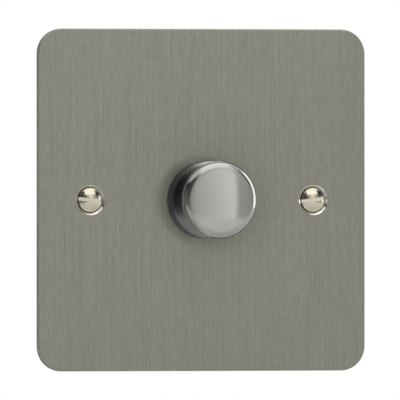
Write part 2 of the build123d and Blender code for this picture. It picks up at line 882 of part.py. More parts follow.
def cover_screws():
    """Two pan-head screws into the housing's lower corners."""
    group = []
    for side in sides:
        screw = rod(cover_screw_radius, cover_rear, cover_rear + cover_screw_length)
        head_top = cover_rear - cover_screw_head_height
        head = rod(cover_screw_head_radius, head_top, cover_rear)
        rim = head.edges().group_by(Axis.Z)[0]
        head = fillet(rim, cover_screw_head_height / 2)
        cross = cross_slot(cover_screw_head_radius / 2, head_top - cut_over, head_top + cross_depth)
        group.append(Pos(side * cover_boss_x, cover_boss_y, 0) * (screw + head - cross))
    return Compound(group)


def axial_lead_places(middle, length):
    """The two heights where a wired part's leads go through the board."""
    half = length / 2 + axial_lead_run
    return [middle - half, middle + half]


def axial_part(radius, length, x, middle):
    """A wired part lying on the board along y, with its two bent leads."""
    axis = board_front + axial_lift + radius
    part = upright_rod(radius, middle - length / 2, middle + length / 2, x, axis)
    low, high = axial_lead_places(middle, length)
    part += upright_rod(lead_radius, low, high, x, axis)
    for y in (low, high):
        part += rod(lead_radius, tail_end, axis, x=x, y=y)
        part += Pos(x, y, axis) * Sphere(lead_radius)
    return part


def resistor_places():
    """The resistors' places across the board, from left to right."""
    first = -(resistor_count - 1) / 2
    return [(first + index) * resistor_pitch for index in range(resistor_count)]


def choke_lead_places():
    """Where the choke winding's two ends go through the board."""
    reach = choke_outer_radius + choke_wire_gap + choke_wire / 2
    return [(choke_place, upper_bay + side * reach) for side in sides]


def board_lead_holes():
    """The middles of the round lead holes in the board."""
    holes = list(choke_lead_places())
    holes += [(film_place + side * film_lead_spacing / 2, upper_bay) for side in sides]
    holes += [(side_bay + side * can_lead_spacing / 2, can_place) for side in sides]
    holes += [(-side_bay, y) for y in axial_lead_places(fuse_place, fuse_length)]
    for x in resistor_places():
        holes += [(x, y) for y in axial_lead_places(upper_bay, resistor_length)]
    return holes


def circuit_board():
    """Board behind the switch, with a hole for every lead and pin."""
    across = (-board_half_width, board_half_width)
    board = span_box(across, (board_bottom, board_top), (board_rear, board_front))
    low = board_rear - cut_over
    high = board_front + cut_over
    hole_radius = max(lead_radius, choke_wire / 2) + lead_hole_gap
    for x, y in board_lead_holes():
        board -= rod(hole_radius, low, high, x=x, y=y)
    for x in pot_pin_places():
        board -= pot_pin(x, pin_slot_gap)
    for side in sides:
        board -= contact_leg(side, pin_slot_gap)
        for index in sides + (0,):
            board -= transistor_lead(side * side_bay + index * transistor_lead_pitch, pin_slot_gap)
    return board


def transistor_lead(x, gap):
    """One bent lead of a power transistor, or its slot when grown by a gap."""
    width = around(x, transistor_lead_width + 2 * gap)
    middle = pad_rear - transistor_thickness / 2
    depth = around(middle, transistor_lead_thickness)
    back = (lead_drop - gap, lead_drop + transistor_lead_thickness + gap)
    lead = span_box(width, (lead_drop, transistor_bottom), depth)
    return lead + span_box(width, back, (tail_end, depth[1]))


def power_transistors():
    """Two flat packages with metal tabs, turned to the heat sink."""
    group = []
    for side in sides:
        across = around(side * side_bay, transistor_width)
        body_top = transistor_bottom + transistor_body_height
        part = span_box(across, (transistor_bottom, body_top), (transistor_rear, pad_rear))
        part += span_box(across, (body_top, tab_top), (tab_rear, pad_rear))
        part -= rod(
            tab_screw_radius + tab_hole_gap,
            tab_rear - cut_over,
            pad_rear + cut_over,
            x=side * side_bay,
            y=tab_hole_height,
        )
        for index in sides + (0,):
            part += transistor_lead(side * side_bay + index * transistor_lead_pitch, 0.0)
        group.append(part)
    return Compound(group)


def thermal_pads():
    """Thin insulating pads between the transistors and the heat sink."""
    group = []
    for side in sides:
        across = around(side * side_bay, transistor_width + 2 * pad_margin)
        pad = span_box(across, (transistor_bottom - pad_margin, tab_top + pad_margin), (pad_rear, sink_rear))
        hole = tab_screw_radius + tab_hole_gap
        pad -= rod(hole, pad_rear - cut_over, sink_rear + cut_over, x=side * side_bay, y=tab_hole_height)
        group.append(pad)
    return Compound(group)


def transistor_screws():
    """Two screws through the tabs into the heat sink."""
    group = []
    for side in sides:
        head_top = tab_rear - tab_screw_head_height
        screw = rod(tab_screw_radius, tab_rear, plate_rear)
        head = rod(tab_screw_head_radius, head_top, tab_rear)
        cross = cross_slot(tab_screw_head_radius / 2, head_top - cut_over, head_top + cross_depth)
        group.append(Pos(side * side_bay, tab_hole_height, 0) * (screw + head - cross))
    return Compound(group)


def choke_core():
    """Ferrite ring lying on the board."""
    low = board_front + choke_wire + choke_wire_gap
    ring = tube(choke_outer_radius, choke_inner_radius, low, low + choke_height)
    ring = fillet(ring.edges().filter_by(GeomType.CIRCLE), choke_core_edge)
    return Pos(choke_place, upper_bay, 0) * ring


def choke_winding():
    """Turns of enamelled wire around the ring, the first and middle ones with a lead."""
    inner = choke_inner_radius - choke_wire_gap - choke_wire
    outer = choke_radius
    turns = 2 * int(math.pi * inner / (choke_wire + choke_wire_gap))
    top = board_front + 2 * (choke_wire + choke_wire_gap) + choke_height
    flat = around(0, choke_wire)
    group = []
    for index in range(turns):
        loop = span_box(flat, (inner, outer), (board_front, top))
        hollow = (inner + choke_wire, outer - choke_wire)
        loop -= span_box(around(0, 2 * choke_wire), hollow, (board_front + choke_wire, top - choke_wire))
        if index in (0, turns // 2):
            loop += rod(choke_wire / 2, tail_end, board_front + choke_wire, y=outer - choke_wire / 2)
        group.append(Pos(choke_place, upper_bay, 0) * Rot(0, 0, index * 360 / turns) * loop)
    return Compound(group)


def film_capacitor():
    """Box-shaped capacitor with two leads."""
    across = around(film_place, film_width)
    top = board_front + film_height
    part = span_box(across, around(upper_bay, film_depth), (board_front, top))
    part = fillet(part.edges().group_by(Axis.Z)[-1], film_edge_radius)
    for side in sides:
        part += rod(lead_radius, tail_end, board_front, x=film_place + side * film_lead_spacing / 2, y=upper_bay)
    return part


def electrolytic_capacitor():
    """Can with a rolled groove near its foot and two leads."""
    top = board_front + can_height
    part = rod(can_radius, board_front, top)
    groove = board_front + can_groove_height
    part -= tube(2 * can_radius, can_radius - can_groove_depth, groove, groove + can_groove_width)
    for side in sides:
        part += rod(lead_radius, tail_end, board_front, x=side * can_lead_spacing / 2)
    return Pos(side_bay, can_place, 0) * part


def fuse():
    """Wired fuse beneath the left transistor."""
    return axial_part(fuse_radius, fuse_length, -side_bay, fuse_place)


def resistors():
    """Row of wired resistors above the rotary control."""
    return Compound([axial_part(resistor_radius, resistor_length, x, upper_bay) for x in resistor_places()])


def control_chip():
    """Flat chip on the board's rear, with a row of leads along each side."""
    bottom = board_rear - chip_height
    chip = span_box(around(0, chip_length), around(-chip_drop, chip_width), (bottom, board_rear))
    first = -(chip_leads_per_side - 1) / 2
    for index in range(chip_leads_per_side):
        across = around((first + index) * chip_lead_pitch, chip_lead_width)
        reach = around(-chip_drop, chip_width + 2 * chip_lead_reach)
        chip += span_box(across, reach, (board_rear - chip_lead_thickness, board_rear))
    return chip


def tunnel_block(front):
    """Brass block with a wire bore along y and a screw hole from its rear, centred on x and y."""
    rear = front - terminal_depth
    height = around(0, terminal_height)
    block = span_box(around(0, terminal_width), height, (rear, front))
    block = fillet(block.edges().filter_by(Axis.Y), terminal_edge_radius)
    bore = front - terminal_front_wall - terminal_bore_radius
    block -= upright_rod(terminal_bore_radius, height[0] - cut_over, height[1] + cut_over, 0, bore)
    return block - rod(clamp_screw_radius + clamp_screw_gap, rear - cut_over, bore)


def clamp_screw(front):
    """Slotted screw of one tunnel block, backed off so that a wire can enter."""
    rear = front - terminal_depth
    tip = front - terminal_front_wall - 2 * terminal_bore_radius - clamp_screw_back_off
    crown = rear - clamp_head_height
    screw = rod(clamp_screw_radius, rear, tip) + rod(clamp_head_radius, crown, rear)
    slot = span_box(
        around(0, 2 * clamp_head_radius + cut_over),
        around(0, clamp_slot_width),
        (crown - cut_over, crown + clamp_slot_depth),
    )
    return screw - slot


def terminal_tunnels():
    """The wire terminals in the housing's bay, each with a tab to the board."""
    group = []
    for x in terminal_places():
        tab = span_box(
            around(x, terminal_tab_width),
            (terminal_top, board_bottom + terminal_tab_overlap),
            (board_front, board_front + terminal_tab_thickness),
        )
        group.append(Pos(x, terminal_middle, 0) * tunnel_block(terminal_front) + tab)
    return Compound(group)


def terminal_screws():
    """The clamp screws of the wire terminals."""
    return Compound([Pos(x, terminal_middle, 0) * clamp_screw(terminal_front) for x in terminal_places()])


def earth_terminal():
    """Brass tunnel on a foot that is welded to the plate's rear."""
    foot = span_box(
        around(0, terminal_width),
        around(0, terminal_height + 2 * earth_foot_margin),
        (earth_front, plate_rear),
    )
    return Pos(earth_x, earth_rise, 0) * (tunnel_block(earth_front) + foot)


def earth_screw():
    """The clamp screw of the earth terminal."""
    return Pos(earth_x, earth_rise, 0) * clamp_screw(earth_front)


makers = [
    front_plate,
    fixing_screws,
    plate_gasket,
    knob_cap,
    knob_core,
    spindle,
    retaining_ring,
    threaded_bush,
    bush_nut,
    lock_washer,
    pot_housing,
    pot_pins,
    resistor_track,
    wiper_rotor,
    wiper_contact,
    switch_housing,
    switch_slider,
    contact_bridge,
    fixed_contacts,
    return_spring,
    heat_sink,
    module_housing,
    rear_cover,
    cover_screws,
    circuit_board,
    power_transistors,
    thermal_pads,
    transistor_screws,
    choke_core,
    choke_winding,
    film_capacitor,
    electrolytic_capacitor,
    fuse,
    resistors,
    control_chip,
    terminal_tunnels,
    terminal_screws,
    earth_terminal,
    earth_screw,
]

os.makedirs("parts", exist_ok=True)
pieces = {maker.__name__: maker() for maker in makers}
pieces["knob_spring_clip"] = clip_strip(0.0)
for node, piece in pieces.items():
    export_step(Plane.XZ * piece, f"parts/{node}.step")
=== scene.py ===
import json
import math

import bmesh
import bpy
from bpy.props import FloatProperty, FloatVectorProperty, IntProperty, PointerProperty
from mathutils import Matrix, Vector


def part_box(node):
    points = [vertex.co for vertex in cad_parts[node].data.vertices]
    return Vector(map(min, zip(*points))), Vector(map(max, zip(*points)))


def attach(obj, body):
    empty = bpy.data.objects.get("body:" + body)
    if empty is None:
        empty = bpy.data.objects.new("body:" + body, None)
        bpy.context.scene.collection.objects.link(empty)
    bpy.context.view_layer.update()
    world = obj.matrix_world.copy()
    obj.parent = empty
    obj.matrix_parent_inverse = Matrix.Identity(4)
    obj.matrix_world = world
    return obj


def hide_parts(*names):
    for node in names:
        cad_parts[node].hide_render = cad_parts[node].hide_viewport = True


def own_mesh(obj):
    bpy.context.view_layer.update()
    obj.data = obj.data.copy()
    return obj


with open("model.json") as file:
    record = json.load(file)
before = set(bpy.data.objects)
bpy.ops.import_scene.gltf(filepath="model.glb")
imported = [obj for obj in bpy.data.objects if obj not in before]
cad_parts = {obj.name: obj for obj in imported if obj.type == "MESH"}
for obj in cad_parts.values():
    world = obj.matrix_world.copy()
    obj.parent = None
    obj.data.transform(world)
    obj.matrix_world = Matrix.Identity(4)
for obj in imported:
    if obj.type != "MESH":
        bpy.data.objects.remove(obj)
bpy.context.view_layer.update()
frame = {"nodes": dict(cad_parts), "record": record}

bl_info = {
    "name": "Wall dimmer",
    "version": (1, 0, 0),
    "blender": (4, 5, 0),
    "location": "View3D > Sidebar > Dimmer",
    "description": "Dresses the wall dimmer's solids: plate, knob, screws, module and studio",
    "category": "Object",
}

MM = 0.001
# Points closer than this are one point
weld = 1e-7
plate_low, plate_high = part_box("front_plate")
cap_low, cap_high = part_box("knob_cap")


def length(name, description, millimetres):
    """A length property, given in millimetres and kept in metres."""
    default = millimetres * MM
    return FloatProperty(name=name, description=description, default=default, unit="LENGTH", precision=5)


def colour(name, description, *default):
    """A colour property in linear values."""
    return FloatVectorProperty(
        name=name, description=description, default=default, subtype="COLOR", size=3, min=0.0, max=1.0
    )


def power(name, description, watts):
    """A property for a lamp's power."""
    return FloatProperty(name=name, description=description, default=watts, min=0.0, unit="POWER")


class PlateSettings(bpy.types.PropertyGroup):
    """The wall plate and its finish."""

    corner: length("Corner radius", "Radius of the plate's corners", 6.5)
    edge: length("Edge radius", "Rounding of the plate's front edge", 0.5)
    centres: length("Screw spacing", "Distance between the fixing screws", 60.3)
    mouth: length("Countersink mouth", "Radius of a countersink on the plate's front", 3.85)
    bush_hole: length("Bush hole", "Radius of the hole for the bush", 5.2)
    pip_hole: length("Pip hole", "Radius of the hole for the locating pip", 1.3)
    pip_height: length("Pip height", "Height of the pip hole above the middle", 8.2)
    steel: colour("Plate steel", "Brushed steel of the plate", 0.225, 0.225, 0.188)
    bare: colour("Bare steel", "Freshly cut steel in the countersinks", 0.74, 0.71, 0.67)


class KnobSettings(bpy.types.PropertyGroup):
    """The knob and its finish."""

    edge: length("Edge radius", "Rounding between the knob's side and face", 1.9)
    crown: length("Crown", "Rise of the knob's face at its middle", 0.8)
    wall: length("Cap wall", "Thickness of the metal cap", 0.8)
    rim: length("Rim break", "Rounding of the cap's rear rim", 0.15)
    sides: IntProperty(name="Sides", description="Facets round the knob", default=160, min=32)
    steel: colour("Face steel", "Satin steel of the cap's face", 0.40, 0.40, 0.375)
    # A little darker than the face steel: polished steel, and painted shade that darkens the knob's side
    polish_and_shade: colour("Edge steel", "Polished steel of the cap's edge and side", 0.36, 0.36, 0.343)
    skirt: colour("Skirt", "Dark moulding under the cap", 0.050, 0.046, 0.053)


class ScrewSettings(bpy.types.PropertyGroup):
    """The screws and their finishes."""

    head: length("Head radius", "Radius of a fixing screw's head", 3.08)
    proud: length("Head height", "How far a fixing screw's crown stands out of the plate", 0.3)
    crown: length("Head crown", "Rise of a fixing screw's head over its rim", 0.65)
    edge: length("Head edge", "Height of the straight edge under a fixing screw's crown", 0.2)
    seat: length("Seat depth", "Depth under the rim at which a fixing screw meets its countersink", 0.92)
    shank: length("Shank radius", "Outside radius of a fixing screw's thread", 1.75)
    slot: length("Slot width", "Width of a fixing screw's slot", 0.9)
    pitch: length("Pitch", "Thread pitch of the fixing screws", 0.6)
    clamp_head: length("Clamp head", "Radius of a clamp screw's head", 2.3)
    clamp_height: length("Clamp head height", "Height of a clamp screw's head", 1.4)
    cover_head: length("Cover head", "Radius of a cover screw's head", 2.0)
    cover_height: length("Cover head height", "Height of a cover screw's head", 1.3)
    nickel: colour("Nickel", "Plating of the fixing screws", 0.545, 0.507, 0.407)
    zinc: colour("Zinc", "Plating of the small screws", 0.60, 0.60, 0.58)


class SpringSettings(bpy.types.PropertyGroup):
    """The push switch's return spring."""

    wire: length("Wire radius", "Radius of the spring's wire", 0.12)
    turns: FloatProperty(name="Turns", description="Number of turns of the spring", default=3.0, min=1.0)
    steel: colour("Spring steel", "Wire of the spring", 0.45, 0.45, 0.44)


class StudioSettings(bpy.types.PropertyGroup):
    """Camera, light and floor."""

    azimuth: FloatProperty(
        name="Azimuth",
        description="Camera's turn from straight ahead",
        default=math.radians(-17.0),
        subtype="ANGLE",
    )
    distance: length("Distance", "Camera's distance from the plate", 4000.0)
    width: length("View width", "Width of the view at the plate", 103.5)
    aim_offset: length("Aim offset", "Camera's aim to the right of the plate's middle", -0.55)
    floor_drop: length("Floor drop", "Depth of the floor below the knob's axis", 75.0)
    floor: length("Floor radius", "Radius of the paper floor", 500.0)
    fill: FloatProperty(name="Fill", description="Strength of light from all round", default=0.38, min=0.0)
    top: power("Top light", "Power of the overhead panel", 4.0)
    side: power("Side light", "Power of the right panel", 2.5)
    front: power("Front light", "Power of the front panel", 8.8)
    rear: power("Rear light", "Power of the rear panel", 5.0)


def arc(centre, radius, start, stop, steps):
    """Points on an arc in radius and depth, between two angles in degrees."""
    points = []
    for step in range(steps + 1):
        angle = math.radians(start + (stop - start) * step / steps)
        points.append((centre[0] + radius * math.cos(angle), centre[1] + radius * math.sin(angle)))
    return points


def ring(bm, radius, y, x, z, count):
    """A ring of points about the y direction, or a single point where the radius is nought."""
    if radius < weld:
        return [bm.verts.new((x, y, z))]
    angles = [2 * math.pi * i / count for i in range(count)]
    return [bm.verts.new((x + radius * math.cos(turn), y, z + radius * math.sin(turn))) for turn in angles]


def join_rings(bm, first, second):
    """The band of faces between two rings, or a fan where one is a point."""
    count = max(len(first), len(second))
    for i in range(count):
        j = (i + 1) % count
        if len(first) == 1:
            corners = (first[0], second[j], second[i])
        elif len(second) == 1:
            corners = (first[i], first[j], second[0])
        else:
            corners = (first[i], first[j], second[j], second[i])
        bm.faces.new(corners)


def join_all(bm, rings):
    """The bands between rings that follow one another."""
    for first, second in zip(rings, rings[1:]):
        join_rings(bm, first, second)


def turned(profile, count):
    """A shape turned about y through a profile of radius and depth."""
    bm = bmesh.new()
    join_all(bm, [ring(bm, radius, y, 0.0, 0.0, count) for radius, y in profile])
    return bm


def rounded_square(bm, half, corner, y, steps=16):
    """A ring of points on a square with round corners."""
    points = []
    inner = half - corner
    for quarter, (sx, sz) in enumerate(((1, 1), (-1, 1), (-1, -1), (1, -1))):
        for step in range(steps + 1):
            angle = math.radians(90 * (quarter + step / steps))
            x = sx * inner + corner * math.cos(angle)
            z = sz * inner + corner * math.sin(angle)
            points.append(bm.verts.new((x, y, z)))
    return points


def ring_edges(bm, points):
    """The edges around a ring."""
    edges = []
    for first, second in zip(points, points[1:] + points[:1]):
        edges.append(bm.edges.get((first, second)) or bm.edges.new((first, second)))
    return edges


def clean_mesh(name, bm):
    """A plain mesh from a shape under construction, its doubles merged and its faces outwards."""
    bmesh.ops.remove_doubles(bm, verts=bm.verts, dist=weld)
    bmesh.ops.recalc_face_normals(bm, faces=bm.faces)
    mesh = bpy.data.meshes.new(name)
    bm.to_mesh(mesh)
    bm.free()
    return mesh


def shown(name, data):
    """An object in the scene for a mesh, a lamp or a camera."""
    made = bpy.data.objects.new(name, data)
    bpy.context.scene.collection.objects.link(made)
    return made


def placed(name, mesh, materials, sharp_degrees):
    """Puts a mesh in the scene as a piece, smooth between its sharp edges."""
    mesh.materials.clear()
    for material in materials:
        mesh.materials.append(material)
    mesh.shade_smooth()
    mesh.set_sharp_from_angle(angle=math.radians(sharp_degrees))
    return shown(name, mesh)


def stands_for(piece, body, slot, *nodes):
    """Rides a piece on its body in place of the plain solids."""
    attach(piece, body)
    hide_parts(*nodes)


class Nodes:
    """A node tree under construction."""

    def __init__(self, tree):
        self.tree = tree

    def feed(self, socket, value):
        """Links a socket to another one, or sets it to a plain value."""
        if isinstance(value, bpy.types.NodeSocket):
            self.tree.links.new(value, socket)
        else:
            socket.default_value = value

    def node(self, kind, inputs=(), **choices):
        """A new node with its choices set and its inputs fed, by their names or numbers."""
        made = self.tree.nodes.new(kind)
        for key, value in choices.items():
            setattr(made, key, value)
        for key, value in dict(inputs).items():
            self.feed(made.inputs[key], value)
        return made

    def maths(self, operation, *values):
        """A sum on numbers or sockets."""
        return self.node("ShaderNodeMath", enumerate(values), operation=operation).outputs[0]

    def background_ray(self):
        """1 for the rays that see the white background: camera, glossy and transmission rays."""
        path = self.node("ShaderNodeLightPath").outputs
        seen = self.maths("MAXIMUM", path["Is Camera Ray"], path["Is Glossy Ray"])
        return self.maths("MAXIMUM", seen, path["Is Transmission Ray"])


class Finish(Nodes):
    """A material under construction: its nodes and its surface."""

    def __init__(self, name, base, roughness, metallic=0.0, grazing=1.0):
        self.material = bpy.data.materials.new(name)
        self.material.use_nodes = True
        super().__init__(self.material.node_tree)
        self.surface = self.tree.nodes["Principled BSDF"]
        self.output = self.tree.nodes["Material Output"].inputs["Surface"]
        self.base = base
        self.set("Base Color", (*base, 1.0))
        self.set("Roughness", roughness)
        self.set("Metallic", metallic)
        self.set("Specular Tint", (grazing, grazing, grazing, 1.0))
        self.place = self.node("ShaderNodeTexCoord").outputs["Object"]

    def set(self, name, value):
        """Feeds one of the surface's sockets."""
        self.feed(self.surface.inputs[name], value)

    def noise(self, scale=1.0, detail=3.0, sharpness=0.55, stretch=(1.0, 1.0, 1.0)):
        """A noise on the piece's own place, with features of 1 / scale metres, stretched along its axes."""
        mapping = self.node("ShaderNodeMapping", {"Vector": self.place, "Scale": stretch})
        texture = self.node("ShaderNodeTexNoise", {
            "Vector": mapping.outputs["Vector"],
            "Scale": scale,
            "Detail": detail,
            "Roughness": sharpness,
        })
        return texture.outputs["Fac"]

    def spread(self, source, low, high, start=0.3, stop=0.7):
        """A value between two ends that follows a noise."""
        scale = self.node("ShaderNodeMapRange", {
            "Value": source,
            "From Min": start,
            "From Max": stop,
            "To Min": low,
            "To Max": high,
        })
        return scale.outputs["Result"]

    def tones(self, source, base, low, high, start=0.3, stop=0.7):
        """A colour between two shades of a base colour, following a noise."""
        ramp = self.node("ShaderNodeValToRGB", {"Fac": source})
        for end, place, factor in zip(ramp.color_ramp.elements, (start, stop), (low, high)):
            end.position = place
            end.color = (*(min(1.0, channel * factor) for channel in base), 1.0)
        return ramp.outputs["Color"]

    def shades(self, source, low, high, start=0.3, stop=0.7):
        """The base colour between two shades of itself, following a noise."""
        self.set("Base Color", self.tones(source, self.base, low, high, start, stop))

    def rough(self, source, low, high):
        """The roughness between two values, following a noise."""
        self.set("Roughness", self.spread(source, low, high))

    def reach(self, first, second):
        """Distance from the piece's own axis, across two of its directions."""
        parts = self.node("ShaderNodeSeparateXYZ", {0: self.place}).outputs
        squares = [self.maths("POWER", parts[axis], 2.0) for axis in (first, second)]
        return self.maths("SQRT", self.maths("ADD", *squares))

    def bump(self, source, height):
        """Fine relief from a noise, with its height in metres."""
        relief = self.node("ShaderNodeBump", {"Height": source, "Distance": height, "Strength": 1.0})
        self.set("Normal", relief.outputs["Normal"])


def brushed(name, base, roughness, stretch):
    """Brushed metal with fine lines along the axis that is stretched least."""
    finish = Finish(name, base, roughness, metallic=1.0)
    lines = finish.noise(stretch=stretch, detail=5.0, sharpness=0.65)
    finish.shades(lines, 0.95, 1.05)
    finish.rough(lines, roughness - 0.06, roughness + 0.06)
    finish.bump(lines, 0.004 * MM)
    return finish.material


def plate_finish(plate):
    """Steel brushed upright: long and short fine lines over broad faint ones."""
    finish = Finish("plate_steel", plate.steel, 0.33, metallic=0.3, grazing=0.5)
    fine = finish.noise(stretch=(4600.0, 60.0, 32.0), detail=3.0, sharpness=0.6)
    short = finish.noise(stretch=(3900.0, 60.0, 330.0), detail=2.0, sharpness=0.6)
    broad = finish.noise(stretch=(420.0, 30.0, 15.0), detail=2.0, sharpness=0.5)
    lines = finish.maths("MULTIPLY", fine, 0.51)
    for source, share in ((short, 0.45), (broad, 0.04)):
        lines = finish.maths("ADD", lines, finish.maths("MULTIPLY", source, share))
    finish.shades(lines, 0.825, 1.175, start=0.36, stop=0.64)
    finish.rough(fine, 0.27, 0.39)
    finish.bump(fine, 0.003 * MM)
    return finish.material


def knob_finish(knob, face_edge):
    """Metal that is satin on the knob's face and polished from its edge down the side, where it is a little
    darker: polished steel, and painted shade on the knob's side.
    """
    finish = Finish("knob_steel", knob.steel, 0.12, metallic=1.0, grazing=0.9)
    outward = finish.spread(finish.reach("X", "Z"), 0.0, 1.0, face_edge - 0.6 * MM, face_edge + 0.5 * MM)
    satin = finish.noise(stretch=(1500.0, 80.0, 120.0), detail=4.0, sharpness=0.6)
    turning = finish.noise(stretch=(30.0, 3000.0, 30.0), detail=3.0, sharpness=0.6)
    face = finish.tones(satin, knob.steel, 0.97, 1.03)
    # The edge and side: polished steel, a little darker than the face as painted shade
    side = finish.tones(turning, knob.polish_and_shade, 0.95, 1.05)
    # Numbers of the colour sockets on a Mix node: 0 is the share, 6 and 7 the colours, 2 the result
    mix = finish.node("ShaderNodeMix", data_type="RGBA")
    for number, source in ((0, outward), (6, face), (7, side)):
        finish.feed(mix.inputs[number], source)
    finish.set("Base Color", mix.outputs[2])
    gloss = finish.maths("ADD", finish.spread(satin, 0.08, 0.12), finish.maths("MULTIPLY", outward, 0.07))
    finish.set("Roughness", gloss)
    finish.bump(satin, 0.0008 * MM)
    return finish.material


def floor_finish(near, far):
    """Pale paper round the object that runs out into the white background between two distances."""
    finish = Finish("floor_paper", (0.82, 0.82, 0.81), 0.9)
    finish.shades(finish.noise(60.0), 0.99, 1.01)
    fade = finish.spread(finish.reach("X", "Y"), 0.0, 1.0, near, far)
    white = finish.node("ShaderNodeEmission")
    mix = finish.node("ShaderNodeMixShader", {
        "Fac": finish.maths("MULTIPLY", fade, finish.background_ray()),
        1: finish.surface.outputs[0],
        2: white.outputs[0],
    })
    finish.feed(finish.output, mix.outputs[0])
    return finish.material


def screen_finish():
    """Lit cloth whose brightness follows the card's own glow attribute."""
    finish = Finish("screen_cloth", (0.0, 0.0, 0.0), 1.0)
    glow = finish.node("ShaderNodeAttribute", attribute_name="glow")
    lit = finish.node("ShaderNodeEmission", {"Strength": glow.outputs["Fac"]})
    finish.feed(finish.output, lit.outputs[0])
    return finish.material


def plated(name, base, roughness):
    """Bright plating with a slight cloud and fine handling marks."""
    finish = Finish(name, base, roughness, metallic=1.0)
    cloud = finish.noise(420.0, detail=4.0)
    marks = finish.noise(2600.0, detail=5.0, sharpness=0.7, stretch=(1.0, 1.0, 0.25))
    finish.shades(cloud, 0.95, 1.05)
    finish.rough(marks, roughness * 0.7, roughness * 1.4)
    finish.bump(marks, 0.0015 * MM)
    return finish.material


def moulded(name, base, roughness, contrast=0.10):
    """Moulded plastic with a fine spark-eroded grain."""
    finish = Finish(name, base, roughness)
    flow = finish.noise(140.0)
    spark = finish.noise(5200.0, sharpness=0.6)
    finish.shades(flow, 1.0 - contrast, 1.0 + contrast)
    finish.rough(spark, roughness - 0.08, roughness + 0.10)
    finish.bump(spark, 0.012 * MM)
    return finish.material


def foam(name, base):
    """Closed-cell foam with open skin pores."""
    finish = Finish(name, base, 0.85)
    cells = finish.node("ShaderNodeTexVoronoi", {"Vector": finish.place, "Scale": 2600.0}).outputs["Distance"]
    finish.shades(cells, 0.6, 1.25, start=0.1, stop=0.6)
    finish.bump(cells, 0.06 * MM)
    return finish.material


def speckled(name, base, roughness, metallic=0.0):
    """A plain finish with a fine cloud in colour and gloss, for the inner pieces."""
    finish = Finish(name, base, roughness, metallic)
    cloud = finish.noise(900.0, detail=4.0)
    finish.shades(cloud, 0.86, 1.14)
    finish.rough(cloud, max(0.05, roughness - 0.08), roughness + 0.08)
    finish.bump(cloud, 0.006 * MM)
    return finish.material


class DIMMER_OT_front_plate(bpy.types.Operator):
    """Make the brushed wall plate with its rolled edge and countersinks"""

    bl_idname = "dimmer.front_plate"
    bl_label = "Wall plate"

    def execute(self, context):
        plate = context.scene.dimmer_plate
        half = plate_high.x
        front, rear = plate_low.y, plate_high.y
        depth = rear - front
        rear_break = 0.1 * MM
        lip = 0.06 * MM
        edge_steps = 8
        hole_sides, pip_sides = 96, 48
        bm = bmesh.new()
        loops = [
            rounded_square(bm, half - rear_break, plate.corner, rear),
            rounded_square(bm, half, plate.corner, rear - rear_break),
        ]
        for step in range(edge_steps + 1):
            angle = math.radians(90 * step / edge_steps)
            inset = plate.edge * (1 - math.cos(angle))
            y = front + plate.edge * (1 - math.sin(angle))
            loops.append(rounded_square(bm, half - inset, plate.corner - inset, y))
        join_all(bm, loops)
        # Each hole's radius in front and behind, its place and its facets
        reach = plate.centres / 2
        holes = (
            (plate.mouth, plate.mouth - depth, -reach, 0.0, hole_sides),
            (plate.mouth, plate.mouth - depth, reach, 0.0, hole_sides),
            (plate.bush_hole, plate.bush_hole, 0.0, 0.0, hole_sides),
            (plate.pip_hole, plate.pip_hole, 0.0, plate.pip_height, pip_sides),
        )
        front_edges = ring_edges(bm, loops[-1])
        rear_edges = ring_edges(bm, loops[0])
        for near, far, x, z, count in holes:
            line = ((near + lip, front), (near, front + lip), (far, rear))
            rings = [ring(bm, radius, y, x, z, count) for radius, y in line]
            join_all(bm, rings)
            front_edges += ring_edges(bm, rings[0])
            rear_edges += ring_edges(bm, rings[-1])
        for edges in (front_edges, rear_edges):
            bmesh.ops.triangle_fill(bm, use_beauty=True, use_dissolve=False, edges=edges)
        bare = plated("bare_steel", plate.bare, 0.16)
        mesh = clean_mesh("plate_brushed", bm)
        piece = placed("plate_brushed", mesh, [plate_finish(plate), bare], sharp_degrees=12.0)
        # The countersinks are bare: their faces lie in the mouth and don't look straight ahead or back
        straight = 0.95
        for polygon in piece.data.polygons:
            off_centre = Vector((abs(polygon.center.x) - reach, polygon.center.z))
            if off_centre.length < plate.mouth + lip and abs(polygon.normal.y) < straight:
                polygon.material_index = 1
        stands_for(piece, "base", "plate_steel", "front_plate")
        return {"FINISHED"}


def knob_profile(knob, inset):
    """The knob's outer line, from the middle of its face to the foot of its edge, drawn in by an inset."""
    face_steps, edge_steps = 12, 20
    dome = (cap_high.x**2 + knob.crown**2) / (2 * knob.crown)
    centre_y = cap_low.y + dome
    edge_at = cap_high.x - knob.edge
    edge_y = centre_y - math.sqrt((dome - knob.edge) ** 2 - edge_at**2)
    lean = math.asin(edge_at / (dome - knob.edge))
    points = []
    for step in range(face_steps + 1):
        radius = (dome - inset) * math.sin(lean) * step / face_steps
        points.append((radius, centre_y - math.sqrt((dome - inset) ** 2 - radius**2)))
    return points + arc((edge_at, edge_y), knob.edge - inset, math.degrees(lean) - 90.0, 0.0, edge_steps)[1:]


class DIMMER_OT_knob_cap(bpy.types.Operator):
    """Make the satin metal cap of the knob"""

    bl_idname = "dimmer.knob_cap"
    bl_label = "Knob cap"

    def execute(self, context):
        knob = context.scene.dimmer_knob
        radius, base = cap_high.x, cap_high.y
        low_side = 4.0 * MM
        rim_steps = 5
        profile = knob_profile(knob, 0.0)
        profile += [(radius, base - low_side), (radius, base - knob.rim)]
        profile += arc((radius - knob.rim, base - knob.rim), knob.rim, 0.0, 90.0, rim_steps)[1:]
        profile += [(radius - knob.wall, base)] + knob_profile(knob, knob.wall)[::-1]
        steel = knob_finish(knob, radius - knob.edge)
        mesh = clean_mesh("knob_cap_satin", turned(profile, knob.sides))
        piece = placed("knob_cap_satin", mesh, [steel], sharp_degrees=35.0)
        stands_for(piece, "knob", "knob_steel", "knob_cap")
        return {"FINISHED"}


